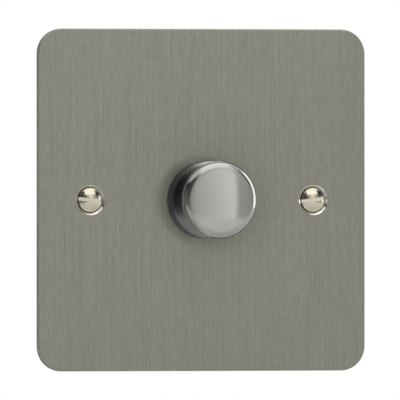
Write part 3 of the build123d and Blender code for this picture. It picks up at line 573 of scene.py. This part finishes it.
class Growth(Nodes):
    """A Geometry Nodes tree under construction, with the names of its inputs given by their kind."""

    def __init__(self, name, inputs):
        super().__init__(bpy.data.node_groups.new(name, "GeometryNodeTree"))
        face = self.tree.interface
        for way in ("INPUT", "OUTPUT"):
            face.new_socket(name="Geometry", in_out=way, socket_type="NodeSocketGeometry")
        self.sockets = {}
        for kind, labels in inputs.items():
            for label in labels:
                made = face.new_socket(name=label, in_out="INPUT", socket_type="NodeSocket" + kind)
                self.sockets[label] = made.identifier
        self.given = self.node("NodeGroupInput").outputs

    def end(self, geometry):
        """Ends the tree: instances made real, and the finish set."""
        real = self.node("GeometryNodeRealizeInstances", {0: geometry})
        paint = self.node("GeometryNodeSetMaterial", {
            "Geometry": real.outputs[0],
            "Material": self.given["Finish"],
        })
        self.node("NodeGroupOutput", {0: paint.outputs[0]})

    def grown(self, carrier, values):
        """The plain mesh that the tree makes from its carrier. Both are then deleted."""
        modifier = carrier.modifiers.new("tree", "NODES")
        modifier.node_group = self.tree
        for name, value in values.items():
            modifier[self.sockets[name]] = value
        carrier.update_tag()
        graph = bpy.context.evaluated_depsgraph_get()
        graph.update()
        made = bpy.data.meshes.new_from_object(carrier.evaluated_get(graph))
        carrier.modifiers.remove(modifier)
        bpy.data.objects.remove(carrier)
        bpy.data.node_groups.remove(self.tree)
        fewest_faces = 100
        if len(made.polygons) < fewest_faces:
            raise RuntimeError("a node tree made no mesh")
        return made


def wound_thread(tree):
    """A thread along y: a grid rolled into a tube, with a winding ridge that fades at both ends."""
    given, maths = tree.given, tree.maths
    ridge_steepness, fade_steepness = 2.6, 30.0
    grid = tree.node("GeometryNodeMeshGrid", {
        "Size X": 1.0,
        "Size Y": 1.0,
        "Vertices X": given["Rows"],
        "Vertices Y": given["Sides"],
    })
    place = tree.node("GeometryNodeInputPosition")
    parts = tree.node("ShaderNodeSeparateXYZ", {0: place.outputs[0]}).outputs
    along = maths("ADD", parts["X"], 0.5)
    around = maths("ADD", parts["Y"], 0.5)
    run = maths("MULTIPLY", along, given["Thread length"])
    phase = maths("FRACT", maths("ADD", maths("DIVIDE", run, given["Pitch"]), around))
    flank = maths("ABSOLUTE", maths("SUBTRACT", phase, 0.5))
    groove = maths("MINIMUM", maths("MULTIPLY", flank, ridge_steepness), 1.0)
    ends = maths("MULTIPLY", maths("MINIMUM", along, maths("SUBTRACT", 1.0, along)), fade_steepness)
    ridge = maths("MULTIPLY", maths("SUBTRACT", 1.0, groove), maths("MINIMUM", ends, 1.0))
    sunk = maths("MULTIPLY", maths("SUBTRACT", 1.0, ridge), given["Thread depth"])
    radius = maths("SUBTRACT", given["Thread radius"], sunk)
    angle = maths("MULTIPLY", around, 2 * math.pi)
    height = maths("MULTIPLY", radius, maths("SINE", angle))
    moved = tree.node("ShaderNodeCombineXYZ", {
        "X": maths("MULTIPLY", radius, maths("COSINE", angle)),
        "Y": maths("MULTIPLY", maths("ADD", run, given["Thread start"]), given["Way"]),
        "Z": maths("MULTIPLY", height, given["Way"]),
    })
    wind = tree.node("GeometryNodeSetPosition", {
        "Geometry": grid.outputs["Mesh"],
        "Position": moved.outputs[0],
    })
    seam = tree.node("GeometryNodeMergeByDistance", {"Geometry": wind.outputs[0], "Distance": weld})
    return seam.outputs["Geometry"]


def screw_tree():
    """Node tree for a row of like screws: a head with its recess, and a thread, at each point."""
    tree = Growth("screw row", {
        "Object": ("Head", "Recess"),
        "Float": ("Thread radius", "Thread depth", "Pitch", "Thread start", "Thread length", "Way"),
        "Int": ("Rows", "Sides"),
        "Material": ("Finish",),
    })
    cut = tree.node("GeometryNodeMeshBoolean", operation="DIFFERENCE", solver="EXACT")
    for name, socket in (("Head", "Mesh 1"), ("Recess", "Mesh 2")):
        helper = tree.node("GeometryNodeObjectInfo", {"Object": tree.given[name]})
        tree.feed(cut.inputs[socket], helper.outputs["Geometry"])
    whole = tree.node("GeometryNodeJoinGeometry")
    for part in (cut.outputs["Mesh"], wound_thread(tree)):
        tree.feed(whole.inputs[0], part)
    turn = tree.node("GeometryNodeInputNamedAttribute", {"Name": "turn"}, data_type="FLOAT")
    spin = tree.node("FunctionNodeAxisAngleToRotation", {
        "Axis": (0.0, 1.0, 0.0),
        "Angle": turn.outputs["Attribute"],
    })
    row = tree.node("GeometryNodeInstanceOnPoints", {
        "Points": tree.given["Geometry"],
        "Instance": whole.outputs[0],
        "Rotation": spin.outputs[0],
    })
    tree.end(row.outputs[0])
    return tree


def prism(outline, y_from, y_to):
    """A straight block along y on an outline of points in x and z."""
    bm = bmesh.new()
    rows = [[bm.verts.new((x, y, z)) for x, z in outline] for y in (y_from, y_to)]
    join_rings(bm, *rows)
    for row in rows:
        bm.faces.new(row)
    return bm


def slot_outline(width, reach):
    """The outline of a straight slot."""
    half = width / 2
    return [(-reach, -half), (reach, -half), (reach, half), (-reach, half)]


def cross_outline(width, reach):
    """The outline of a cross recess."""
    half = width / 2
    quarter = [(reach, -half), (reach, half), (half, half)]
    points = []
    for turn in range(4):
        for x, z in quarter:
            for _ in range(turn):
                x, z = -z, x
            points.append((x, z))
    return points


def screw_row(name, places, turns, profile, outline, floor, thread, material, way=1.0):
    """A row of like screws at given places, each turned about its own axis by so many degrees."""
    head_sides, thread_sides, rows_per_pitch, fewest_rows = 112, 33, 8, 8
    over_head = profile[0][1] - 1.0 * MM
    shapes = {
        "Head": turned([(radius, y * way) for radius, y in profile], head_sides),
        "Recess": prism(outline, over_head * way, floor * way),
    }
    # Closed shapes for the tree to read, deleted once it has run
    helpers = {}
    for part, bm in shapes.items():
        label = name + "_" + part.lower()
        helpers[part] = shown(label, clean_mesh(label, bm))
    points = bpy.data.meshes.new(name)
    points.from_pydata(places, [], [])
    values = points.attributes.new("turn", "FLOAT", "POINT").data
    for value, turn in zip(values, turns):
        value.value = math.radians(turn)
    radius, depth, pitch, start, run = thread
    made = screw_tree().grown(shown(name + "_points", points), {
        **helpers,
        "Thread radius": radius,
        "Thread depth": depth,
        "Pitch": pitch,
        "Thread start": start,
        "Thread length": run,
        "Way": way,
        "Rows": max(fewest_rows, int(run / pitch * rows_per_pitch)),
        "Sides": thread_sides,
        "Finish": material,
    })
    for helper in helpers.values():
        bpy.data.objects.remove(helper)
    return placed(name, made, [material], sharp_degrees=32.0)


class DIMMER_OT_fixing_screws(bpy.types.Operator):
    """Make the two raised slotted screws that hold the plate"""

    bl_idname = "dimmer.fixing_screws"
    bl_label = "Fixing screws"

    def execute(self, context):
        plate, screws = context.scene.dimmer_plate, context.scene.dimmer_screws
        head, shank = screws.head, screws.shank
        rim_break, rim_rise = 0.12 * MM, 0.03 * MM
        seat_play, root_play = 0.04 * MM, 0.02 * MM
        neck, neck_taper = 2.0 * MM, 0.4 * MM
        tip_break, thread_stop = 0.5 * MM, 0.3 * MM
        thread_depth = 0.34 * MM
        slot_depth = 0.2 * MM
        slot_turns = (6.0, -7.0)
        crown_steps = 14
        crown = plate_low.y - screws.proud
        rim = crown + screws.crown
        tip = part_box("fixing_screws")[1].y
        # The crown, its straight edge, and the undercut down to where the head meets its countersink
        dome = (head**2 + screws.crown**2) / (2 * screws.crown)
        lean = math.degrees(math.asin((head - rim_break) / dome))
        seat = rim + screws.seat
        seat_radius = plate.mouth - (seat - plate_low.y) - seat_play
        profile = arc((0.0, crown + dome), dome, -90.0, -90.0 + lean, crown_steps)
        profile += [(head, rim - rim_rise), (head, rim + screws.edge), (seat_radius, seat)]
        # The cone, the plain neck, and the core that carries the thread
        cone_end = seat + seat_radius - shank
        neck_end = cone_end + neck
        root = shank - thread_depth - root_play
        profile += [(shank, cone_end), (shank, neck_end), (root, neck_end + neck_taper)]
        profile += [(root, tip - tip_break), (root - tip_break, tip), (0.0, tip)]
        start = neck_end + neck_taper / 2
        thread = (shank, thread_depth, screws.pitch, start, tip - thread_stop - start)
        piece = screw_row(
            "fixing_screws_slotted",
            [(side * plate.centres / 2, 0.0, 0.0) for side in (-1, 1)],
            slot_turns,
            profile,
            slot_outline(screws.slot, 1.5 * head),
            rim + slot_depth,
            thread,
            plated("nickel_plate", screws.nickel, 0.14),
        )
        stands_for(piece, "base", "nickel_plate", "fixing_screws")
        return {"FINISHED"}


def small_screw(head, height, edge, shank, pitch, run):
    """Profile and thread of a small screw with its seat at nought: a head with a round edge, and a shank."""
    edge_steps = 6
    rim_break, tip_break = 0.12 * MM, 0.2 * MM
    neck, neck_taper = 0.3 * MM, 0.2 * MM
    thread_depth, root_play = 0.24 * MM, 0.01 * MM
    thread_start, thread_stop = 0.4 * MM, 0.1 * MM
    root = shank - thread_depth - root_play
    profile = [(0.0, -height), (head - edge, -height)]
    profile += arc((head - edge, edge - height), edge, -90.0, 0.0, edge_steps)[1:]
    profile += [(head, -rim_break), (head - rim_break, 0.0), (shank, 0.0), (shank, neck)]
    profile += [(root, neck + neck_taper), (root, run - tip_break), (root - tip_break, run), (0.0, run)]
    return profile, (shank, thread_depth, pitch, thread_start, run - thread_start - thread_stop)


def small_screws(node, ending, sizes, columns, turns, outline, recess_depth, material):
    """A row of small screws along x in place of a node's plain ones, with their heads to the rear."""
    head, height, edge, shank, pitch = sizes
    low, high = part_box(node)
    seat = high.y - height
    places = [(x, seat, low.z + head) for x in columns]
    profile, thread = small_screw(head, height, edge, shank, pitch, seat - low.y)
    floor = recess_depth - height
    piece = screw_row(node + ending, places, turns, profile, outline, floor, thread, material, way=-1.0)
    stands_for(piece, "base", "zinc_steel", node)


class DIMMER_OT_clamp_screws(bpy.types.Operator):
    """Make the slotted clamp screws of the wire terminals and of the earth terminal"""

    bl_idname = "dimmer.clamp_screws"
    bl_label = "Clamp screws"

    def execute(self, context):
        screws = context.scene.dimmer_screws
        zinc = plated("zinc_clamp", screws.zinc, 0.24)
        head, height = screws.clamp_head, screws.clamp_height
        edge, shank, pitch = 0.3 * MM, 1.5 * MM, 0.5 * MM
        slot_width, slot_depth = 0.7 * MM, 0.8 * MM
        sizes = (head, height, edge, shank, pitch)
        slot = slot_outline(slot_width, 2 * head)
        for node, turns in (("terminal_screws", (14.0, -32.0, 5.0)), ("earth_screw", (-20.0,))):
            low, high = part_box(node)
            first, last = low.x + head, high.x - head
            gap = (last - first) / max(1, len(turns) - 1)
            columns = [first + gap * i for i in range(len(turns))]
            small_screws(node, "_slotted", sizes, columns, turns, slot, slot_depth, zinc)
        return {"FINISHED"}


class DIMMER_OT_cover_screws(bpy.types.Operator):
    """Make the two pan-head screws of the rear cover"""

    bl_idname = "dimmer.cover_screws"
    bl_label = "Cover screws"

    def execute(self, context):
        screws = context.scene.dimmer_screws
        zinc = plated("zinc_cover", screws.zinc, 0.24)
        head, height = screws.cover_head, screws.cover_height
        edge, shank, pitch = 0.65 * MM, 1.1 * MM, 0.8 * MM
        cross_width, cross_depth = 0.7 * MM, 0.7 * MM
        sizes = (head, height, edge, shank, pitch)
        turns = (22.0, -11.0)
        cross = cross_outline(cross_width, head / 2)
        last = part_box("cover_screws")[1].x - head
        small_screws("cover_screws", "_cross", sizes, (-last, last), turns, cross, cross_depth, zinc)
        return {"FINISHED"}


def spring_tree():
    """Node tree for a coil spring along y: a wire swept along a helix."""
    steps_per_turn, wire_sides = 48, 16
    tree = Growth("coil spring", {
        "Float": ("Turns", "Coil radius", "Wire radius", "Height"),
        "Vector": ("Place",),
        "Material": ("Finish",),
    })
    given = tree.given
    helix = tree.node("GeometryNodeCurveSpiral", {
        "Resolution": steps_per_turn,
        "Rotations": given["Turns"],
        "Start Radius": given["Coil radius"],
        "End Radius": given["Coil radius"],
        "Height": given["Height"],
    })
    lay = tree.node("GeometryNodeTransform", {
        "Geometry": helix.outputs["Curve"],
        "Rotation": (-math.pi / 2, 0.0, 0.0),
        "Translation": given["Place"],
    })
    wire = tree.node("GeometryNodeCurvePrimitiveCircle", {
        "Resolution": wire_sides,
        "Radius": given["Wire radius"],
    })
    sweep = tree.node("GeometryNodeCurveToMesh", {
        "Curve": lay.outputs["Geometry"],
        "Profile Curve": wire.outputs["Curve"],
        "Fill Caps": True,
    })
    tree.end(sweep.outputs["Mesh"])
    return tree


class DIMMER_OT_return_spring(bpy.types.Operator):
    """Make the push switch's coil spring"""

    bl_idname = "dimmer.return_spring"
    bl_label = "Return spring"

    def execute(self, context):
        spring = context.scene.dimmer_spring
        low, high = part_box("return_spring")
        free = high.y - low.y
        steel = plated("spring_wire", spring.steel, 0.28)
        carrier = shown("return_spring_seat", bpy.data.meshes.new("return_spring_seat"))
        made = spring_tree().grown(carrier, {
            "Turns": spring.turns,
            "Coil radius": high.z - spring.wire,
            "Wire radius": spring.wire,
            "Height": free - 2 * spring.wire,
            "Place": (0.0, low.y + spring.wire, 0.0),
            "Finish": steel,
        })
        piece = placed("return_spring_coil", made, [steel], sharp_degrees=60.0)
        stands_for(piece, "base", "spring_steel", "return_spring")
        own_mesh(piece)
        return {"FINISHED"}


class DIMMER_OT_carried_nodes(bpy.types.Operator):
    """Give the solids that stay as they are their finishes"""

    bl_idname = "dimmer.carried_nodes"
    bl_label = "Other solids"

    def execute(self, context):
        knob, screws = context.scene.dimmer_knob, context.scene.dimmer_screws
        spring = context.scene.dimmer_spring
        white_contrast, full_metal = 0.04, 1.0
        # Each slot's maker, its base colour and what else the maker takes
        rows = {
            "knob_plastic": (moulded, knob.skirt, 0.38),
            "seal_foam": (foam, (0.030, 0.030, 0.031)),
            "spring_steel": (plated, spring.steel, 0.28),
            "spindle_metal": (brushed, (0.62, 0.62, 0.63), 0.30, (60.0, 3000.0, 60.0)),
            "bush_metal": (plated, (0.58, 0.54, 0.43), 0.22),
            "zinc_steel": (plated, screws.zinc, 0.25),
            "black_plastic": (moulded, (0.018, 0.018, 0.019), 0.42),
            "white_plastic": (moulded, (0.72, 0.71, 0.66), 0.40, white_contrast),
            "tinned_copper": (plated, (0.62, 0.61, 0.57), 0.30),
            "track_carbon": (speckled, (0.02, 0.02, 0.021), 0.5),
            "contact_copper": (plated, (0.66, 0.36, 0.20), 0.25),
            "sink_aluminium": (brushed, (0.58, 0.59, 0.60), 0.36, (30.0, 60.0, 1600.0)),
            "housing_plastic": (moulded, (0.022, 0.022, 0.024), 0.46),
            "board_laminate": (speckled, (0.03, 0.14, 0.055), 0.35),
            "pad_silicone": (speckled, (0.36, 0.38, 0.41), 0.7),
            "ferrite": (speckled, (0.05, 0.05, 0.055), 0.6),
            "enamelled_copper": (speckled, (0.52, 0.20, 0.08), 0.25, full_metal),
            "capacitor_plastic": (speckled, (0.42, 0.07, 0.035), 0.3),
            "can_aluminium": (speckled, (0.07, 0.08, 0.11), 0.3),
            "fuse_ceramic": (speckled, (0.72, 0.69, 0.62), 0.25),
            "resistor_body": (speckled, (0.45, 0.33, 0.2), 0.3),
            "terminal_brass": (brushed, (0.66, 0.47, 0.20), 0.27, (400.0, 400.0, 1400.0)),
        }
        finishes = {slot: maker(slot, *values) for slot, (maker, *values) in rows.items()}
        slots = {row["node"]: row["material_slot"] for row in frame["record"]["subparts"]}
        for node in frame["nodes"]:
            solid = bpy.data.objects[node]
            finish = finishes.get(slots[node])
            if finish and not solid.hide_render:
                solid.data.materials.clear()
                solid.data.materials.append(finish)
        return {"FINISHED"}


# Brightness of the screen by its azimuth in degrees, from the left to the right: dark cloth, a graded front,
# a dark gap that the screws' heads mirror, and a bright strip
screen_strip = ((65, 2.6), (100, 2.6), (108, 1.2))
screen_front = (
    (-172, 0.15), (-110, 0.17), (-60, 0.20), (-40, 0.14), (-25, 0.09), (-8, 0.12), (-1, 0.28), (4, 0.78),
    (16, 1.12), (24, 1.35), (25, 0.65), (34, 0.58),
)
screen_low = (
    (-172, 0.20), (-110, 0.22), (-60, 0.26), (-40, 0.21), (-25, 0.17), (-8, 0.28), (-1, 0.46), (4, 0.78),
    (16, 1.08), (24, 1.30), (25, 0.62), (34, 0.55), (46, 0.45), (55, 0.45), (58, 2.6), (100, 2.6), (108, 1.2),
)
screen_middle = screen_front + ((46, 0.48), (62, 0.48)) + screen_strip
screen_upper = screen_front + ((42, 0.05), (62, 0.05)) + screen_strip
screen_top = (
    (-172, 0.03), (-110, 0.04), (-60, 0.06), (-25, 0.08), (-9, 0.08), (-6, 1.8), (37, 1.8), (39, 0.03),
    (62, 0.03),
) + screen_strip
# Height of each row of the screen in metres, and its brightness
screen_rows = (
    (-0.70, screen_low), (0.03, screen_low), (0.10, screen_middle), (0.18, screen_middle),
    (0.22, screen_upper), (0.35, screen_upper), (0.41, screen_top), (0.75, screen_top),
)
screen_radius = 1.0

# The card overhead: its corners in x and y, its height and its brightness
overhead_corners = ((-0.30, -0.95), (0.48, -0.95), (0.48, 0.10), (-0.30, 0.10))
overhead_height = 0.76
overhead_glow = 1.8

# The sheet over the floor: its height over the floor, its columns from the left, and its rows from the front,
# each with its brightness in those columns
sheet_lift = 0.003
sheet_columns = (-0.55, -0.20, -0.05, 0.0)
sheet_rows = (
    (-0.45, (0.12, 0.40, 0.85, 1.0)),
    (-0.13, (0.12, 0.78, 0.85, 0.95)),
    (-0.03, (0.10, 0.25, 0.45, 0.85)),
    (0.15, (0.10, 0.25, 0.30, 0.85)),
)

# Painted reflection on the knob's side: brightness of a glowing sleeve close round the knob that only
# polished surfaces see, by its angle in degrees, from the upper right over the top and down the left: pale at
# the top as a painted highlight, dark at the upper left as painted shade, and grey below
painted_reflection_top = ((60, 0.16), (74, 0.24), (90, 0.90), (104, 0.80))
painted_reflection_edge = painted_reflection_top + (
    (116, 0.32), (136, 0.20), (150, 0.17), (187, 0.19), (204, 0.22), (213, 0.28), (262, 0.30),
)
painted_reflection_front = painted_reflection_top + (
    (116, 0.22), (136, 0.07), (150, 0.025), (166, 0.025), (187, 0.05), (196, 0.085), (204, 0.15), (208, 0.22),
    (213, 0.28), (262, 0.30),
)
painted_reflection_rear = (
    (60, 0.16), (74, 0.22), (90, 0.80), (104, 0.70), (116, 0.18), (136, 0.04), (150, 0.008), (166, 0.008),
    (187, 0.022), (196, 0.06), (204, 0.13), (208, 0.19), (213, 0.25), (262, 0.27),
)
# The sleeve's outside: painted light that the plate mirrors beside the knob in place of the knob's shade, dim
# at the plate's face
painted_plate_light = ((84, 1.4), (262, 1.4))
painted_plate_light_foot = ((84, 0.05), (262, 0.05))
# Depth of each row of the sleeve's two sides, and its brightness: inside, the painted reflection that the
# knob's side mirrors; outside, painted light that the plate mirrors beside the knob
painted_sleeve_mouth = cap_low.y + 3.2 * MM
flag_inside = (
    (painted_sleeve_mouth, painted_reflection_edge), (cap_low.y + 5.6 * MM, painted_reflection_front), (cap_high.y + 2.6 * MM, painted_reflection_rear),
    (plate_low.y, painted_reflection_front),
)
flag_outside = (
    (painted_sleeve_mouth, painted_plate_light), (plate_low.y - 9.0 * MM, painted_plate_light), (plate_low.y, painted_plate_light_foot),
)
# The sleeve of painted reflection stands this far from the knob's axis, just off the knob's side
painted_sleeve_radius = cap_high.x + 0.9 * MM
painted_sleeve_thickness = 0.2 * MM


def level(at, stops):
    """The value at a place between rising stops."""
    for (low, first), (high, second) in zip(stops, stops[1:]):
        if at <= high:
            return first + (second - first) * (at - low) / (high - low)
    return stops[-1][1]


def card(name, points, faces, material):
    """A flat or bent card of the studio."""
    mesh = bpy.data.meshes.new(name)
    mesh.from_pydata(points, [], faces)
    mesh.materials.append(material)
    made = shown(name, mesh)
    return made


def mirror_card(name, points, faces, levels, material):
    """A lit card that only polished surfaces see, with a brightness at each of its points."""
    made = card(name, points, faces, material)
    values = made.data.attributes.new("glow", "FLOAT", "POINT").data
    for value, glow in zip(values, levels):
        value.value = glow
    for ray in ("camera", "diffuse", "transmission", "volume_scatter", "shadow"):
        setattr(made, "visible_" + ray, False)


def lattice(count, step):
    """The faces between so many points that stand in columns of a step."""
    corners = [i for i in range(count - step) if i % step < step - 1]
    return [(i, i + 1, i + step + 1, i + step) for i in corners]


def bent_card(name, rows, degrees, place, material):
    """A mirror card bent round an axis: a column every so many degrees, and levels for each row."""
    points, glows = [], []
    stops = rows[0][1]
    for angle in range(stops[0][0], stops[-1][0] + 1, degrees):
        for along, levels in rows:
            points.append(place(math.radians(angle), along))
            glows.append(level(angle, levels))
    mirror_card(name, points, lattice(len(points), len(rows)), glows, material)


def screen_place(turn, height):
    """A place on the screen, which stands round the upright axis."""
    return screen_radius * math.sin(turn), -screen_radius * math.cos(turn), height


def painted_sleeve_place(radius):
    """Gives the places on the sleeve of painted reflection, of some radius, which lies round the knob's axis.
    """
    return lambda turn, depth: (radius * math.cos(turn), depth, radius * math.sin(turn))


def mirror_cards(floor_height):
    """The cards that the polished pieces mirror."""
    cloth = screen_finish()
    bent_card("screen", screen_rows, 1, screen_place, cloth)
    overhead = [(x, y, overhead_height) for x, y in overhead_corners]
    mirror_card("overhead", overhead, [tuple(range(4))], [overhead_glow] * 4, cloth)
    sheet = [(x, y, floor_height + sheet_lift) for y, levels in sheet_rows for x in sheet_columns]
    glows = [glow for y, levels in sheet_rows for glow in levels]
    mirror_card("sheet", sheet, lattice(len(sheet), len(sheet_columns)), glows, cloth)
    # The sleeve round the knob: painted reflection and painted shade on the knob's side
    bent_card("flag_inside", flag_inside, 2, painted_sleeve_place(painted_sleeve_radius), cloth)
    # The sleeve's outside: painted light for the plate beside the knob
    bent_card("flag_outside", flag_outside, 2, painted_sleeve_place(painted_sleeve_radius + painted_sleeve_thickness), cloth)


def paper_floor(radius, height):
    """A round pale floor."""
    sides = 96
    fade_start, fade_end = 0.13, 0.34
    angles = [2 * math.pi * i / sides for i in range(sides)]
    rim = [(radius * math.cos(turn), radius * math.sin(turn), height) for turn in angles]
    card("floor", rim, [tuple(range(sides))], floor_finish(fade_start, fade_end))


def white_room(strength):
    """A world that is white to the rays that see it, and a weak fill to the rest."""
    world = bpy.data.worlds.new("white_room")
    world.use_nodes = True
    world.node_tree.nodes.clear()
    room = Nodes(world.node_tree)
    white = (1.0, 1.0, 1.0, 1.0)
    fill = room.node("ShaderNodeBackground", {"Color": white, "Strength": strength})
    seen = room.node("ShaderNodeBackground", {"Color": white})
    mix = room.node("ShaderNodeMixShader", {
        "Fac": room.background_ray(),
        1: fill.outputs[0],
        2: seen.outputs[0],
    })
    room.node("ShaderNodeOutputWorld", {"Surface": mix.outputs[0]})
    return world


def softbox(name, place, aim, width, watts):
    """A square soft lamp that looks at a point, and that no reflection shows."""
    lamp = bpy.data.lights.new(name, "AREA")
    lamp.shape = "SQUARE"
    lamp.size = width
    lamp.energy = watts
    made = shown(name, lamp)
    made.location = place
    made.rotation_euler = (Vector(aim) - Vector(place)).to_track_quat("-Z", "Y").to_euler()
    made.visible_camera = False
    made.visible_glossy = False


def photo_camera(studio):
    """The camera at the photo's angle, level with the knob."""
    sensor = 36.0
    across = Vector((math.cos(studio.azimuth), math.sin(studio.azimuth), 0.0))
    away = Vector((math.sin(studio.azimuth), -math.cos(studio.azimuth), 0.0))
    lens = bpy.data.cameras.new("camera")
    lens.sensor_width = sensor
    lens.lens = sensor * studio.distance / studio.width
    lens.clip_start = 50.0 * MM
    camera = shown("camera", lens)
    camera.location = Vector((0.0, plate_low.y, 0.0)) + across * studio.aim_offset + away * studio.distance
    camera.rotation_euler = (-away).to_track_quat("-Z", "Y").to_euler()
    return camera


class DIMMER_OT_studio(bpy.types.Operator):
    """Set up the floor, the soft light and the camera"""

    bl_idname = "dimmer.studio"
    bl_label = "Studio"

    def execute(self, context):
        scene = context.scene
        studio = scene.dimmer_studio
        scene.view_settings.view_transform = "Standard"
        scene.world = white_room(studio.fill)
        paper_floor(studio.floor, -studio.floor_drop)
        mirror_cards(-studio.floor_drop)
        # Each lamp's place, what it looks at, its width and its power
        middle = (0.0, 0.0, 0.0)
        softbox("top_panel", (0.10, 0.15, 0.75), (0.10, 0.15, 0.0), 0.90, studio.top)
        softbox("right_panel", (0.85, 0.38, 0.10), middle, 0.80, studio.side)
        softbox("front_panel", (-0.38, -1.08, 0.06), middle, 0.90, studio.front)
        softbox("rear_panel", (-0.45, 1.00, 0.45), middle, 0.90, studio.rear)
        scene.camera = photo_camera(studio)
        return {"FINISHED"}


class DIMMER_PT_panel(bpy.types.Panel):
    """Buttons for each piece of the dimmer."""

    bl_idname = "DIMMER_PT_panel"
    bl_label = "Dimmer"
    bl_space_type = "VIEW_3D"
    bl_region_type = "UI"
    bl_category = "Dimmer"

    def draw(self, context):
        for operator in operators:
            self.layout.operator(operator.bl_idname)


groups = (
    ("dimmer_plate", PlateSettings),
    ("dimmer_knob", KnobSettings),
    ("dimmer_screws", ScrewSettings),
    ("dimmer_spring", SpringSettings),
    ("dimmer_studio", StudioSettings),
)
operators = (
    DIMMER_OT_studio,
    DIMMER_OT_front_plate,
    DIMMER_OT_knob_cap,
    DIMMER_OT_fixing_screws,
    DIMMER_OT_clamp_screws,
    DIMMER_OT_cover_screws,
    DIMMER_OT_return_spring,
    DIMMER_OT_carried_nodes,
)


def register():
    """Adds the settings, the operators and the panel."""
    for name, group in groups:
        bpy.utils.register_class(group)
        setattr(bpy.types.Scene, name, PointerProperty(type=group))
    for operator in operators:
        bpy.utils.register_class(operator)
    bpy.utils.register_class(DIMMER_PT_panel)


def unregister():
    """Takes the panel, the operators and the settings out again."""
    bpy.utils.unregister_class(DIMMER_PT_panel)
    for operator in reversed(operators):
        bpy.utils.unregister_class(operator)
    for name, group in reversed(groups):
        delattr(bpy.types.Scene, name)
        bpy.utils.unregister_class(group)


def main():
    """Makes the studio and every piece."""
    register()
    bpy.ops.dimmer.studio()
    bpy.ops.dimmer.front_plate()
    bpy.ops.dimmer.knob_cap()
    bpy.ops.dimmer.fixing_screws()
    bpy.ops.dimmer.clamp_screws()
    bpy.ops.dimmer.cover_screws()
    bpy.ops.dimmer.return_spring()
    bpy.ops.dimmer.carried_nodes()


if __name__ == "__main__":
    main()
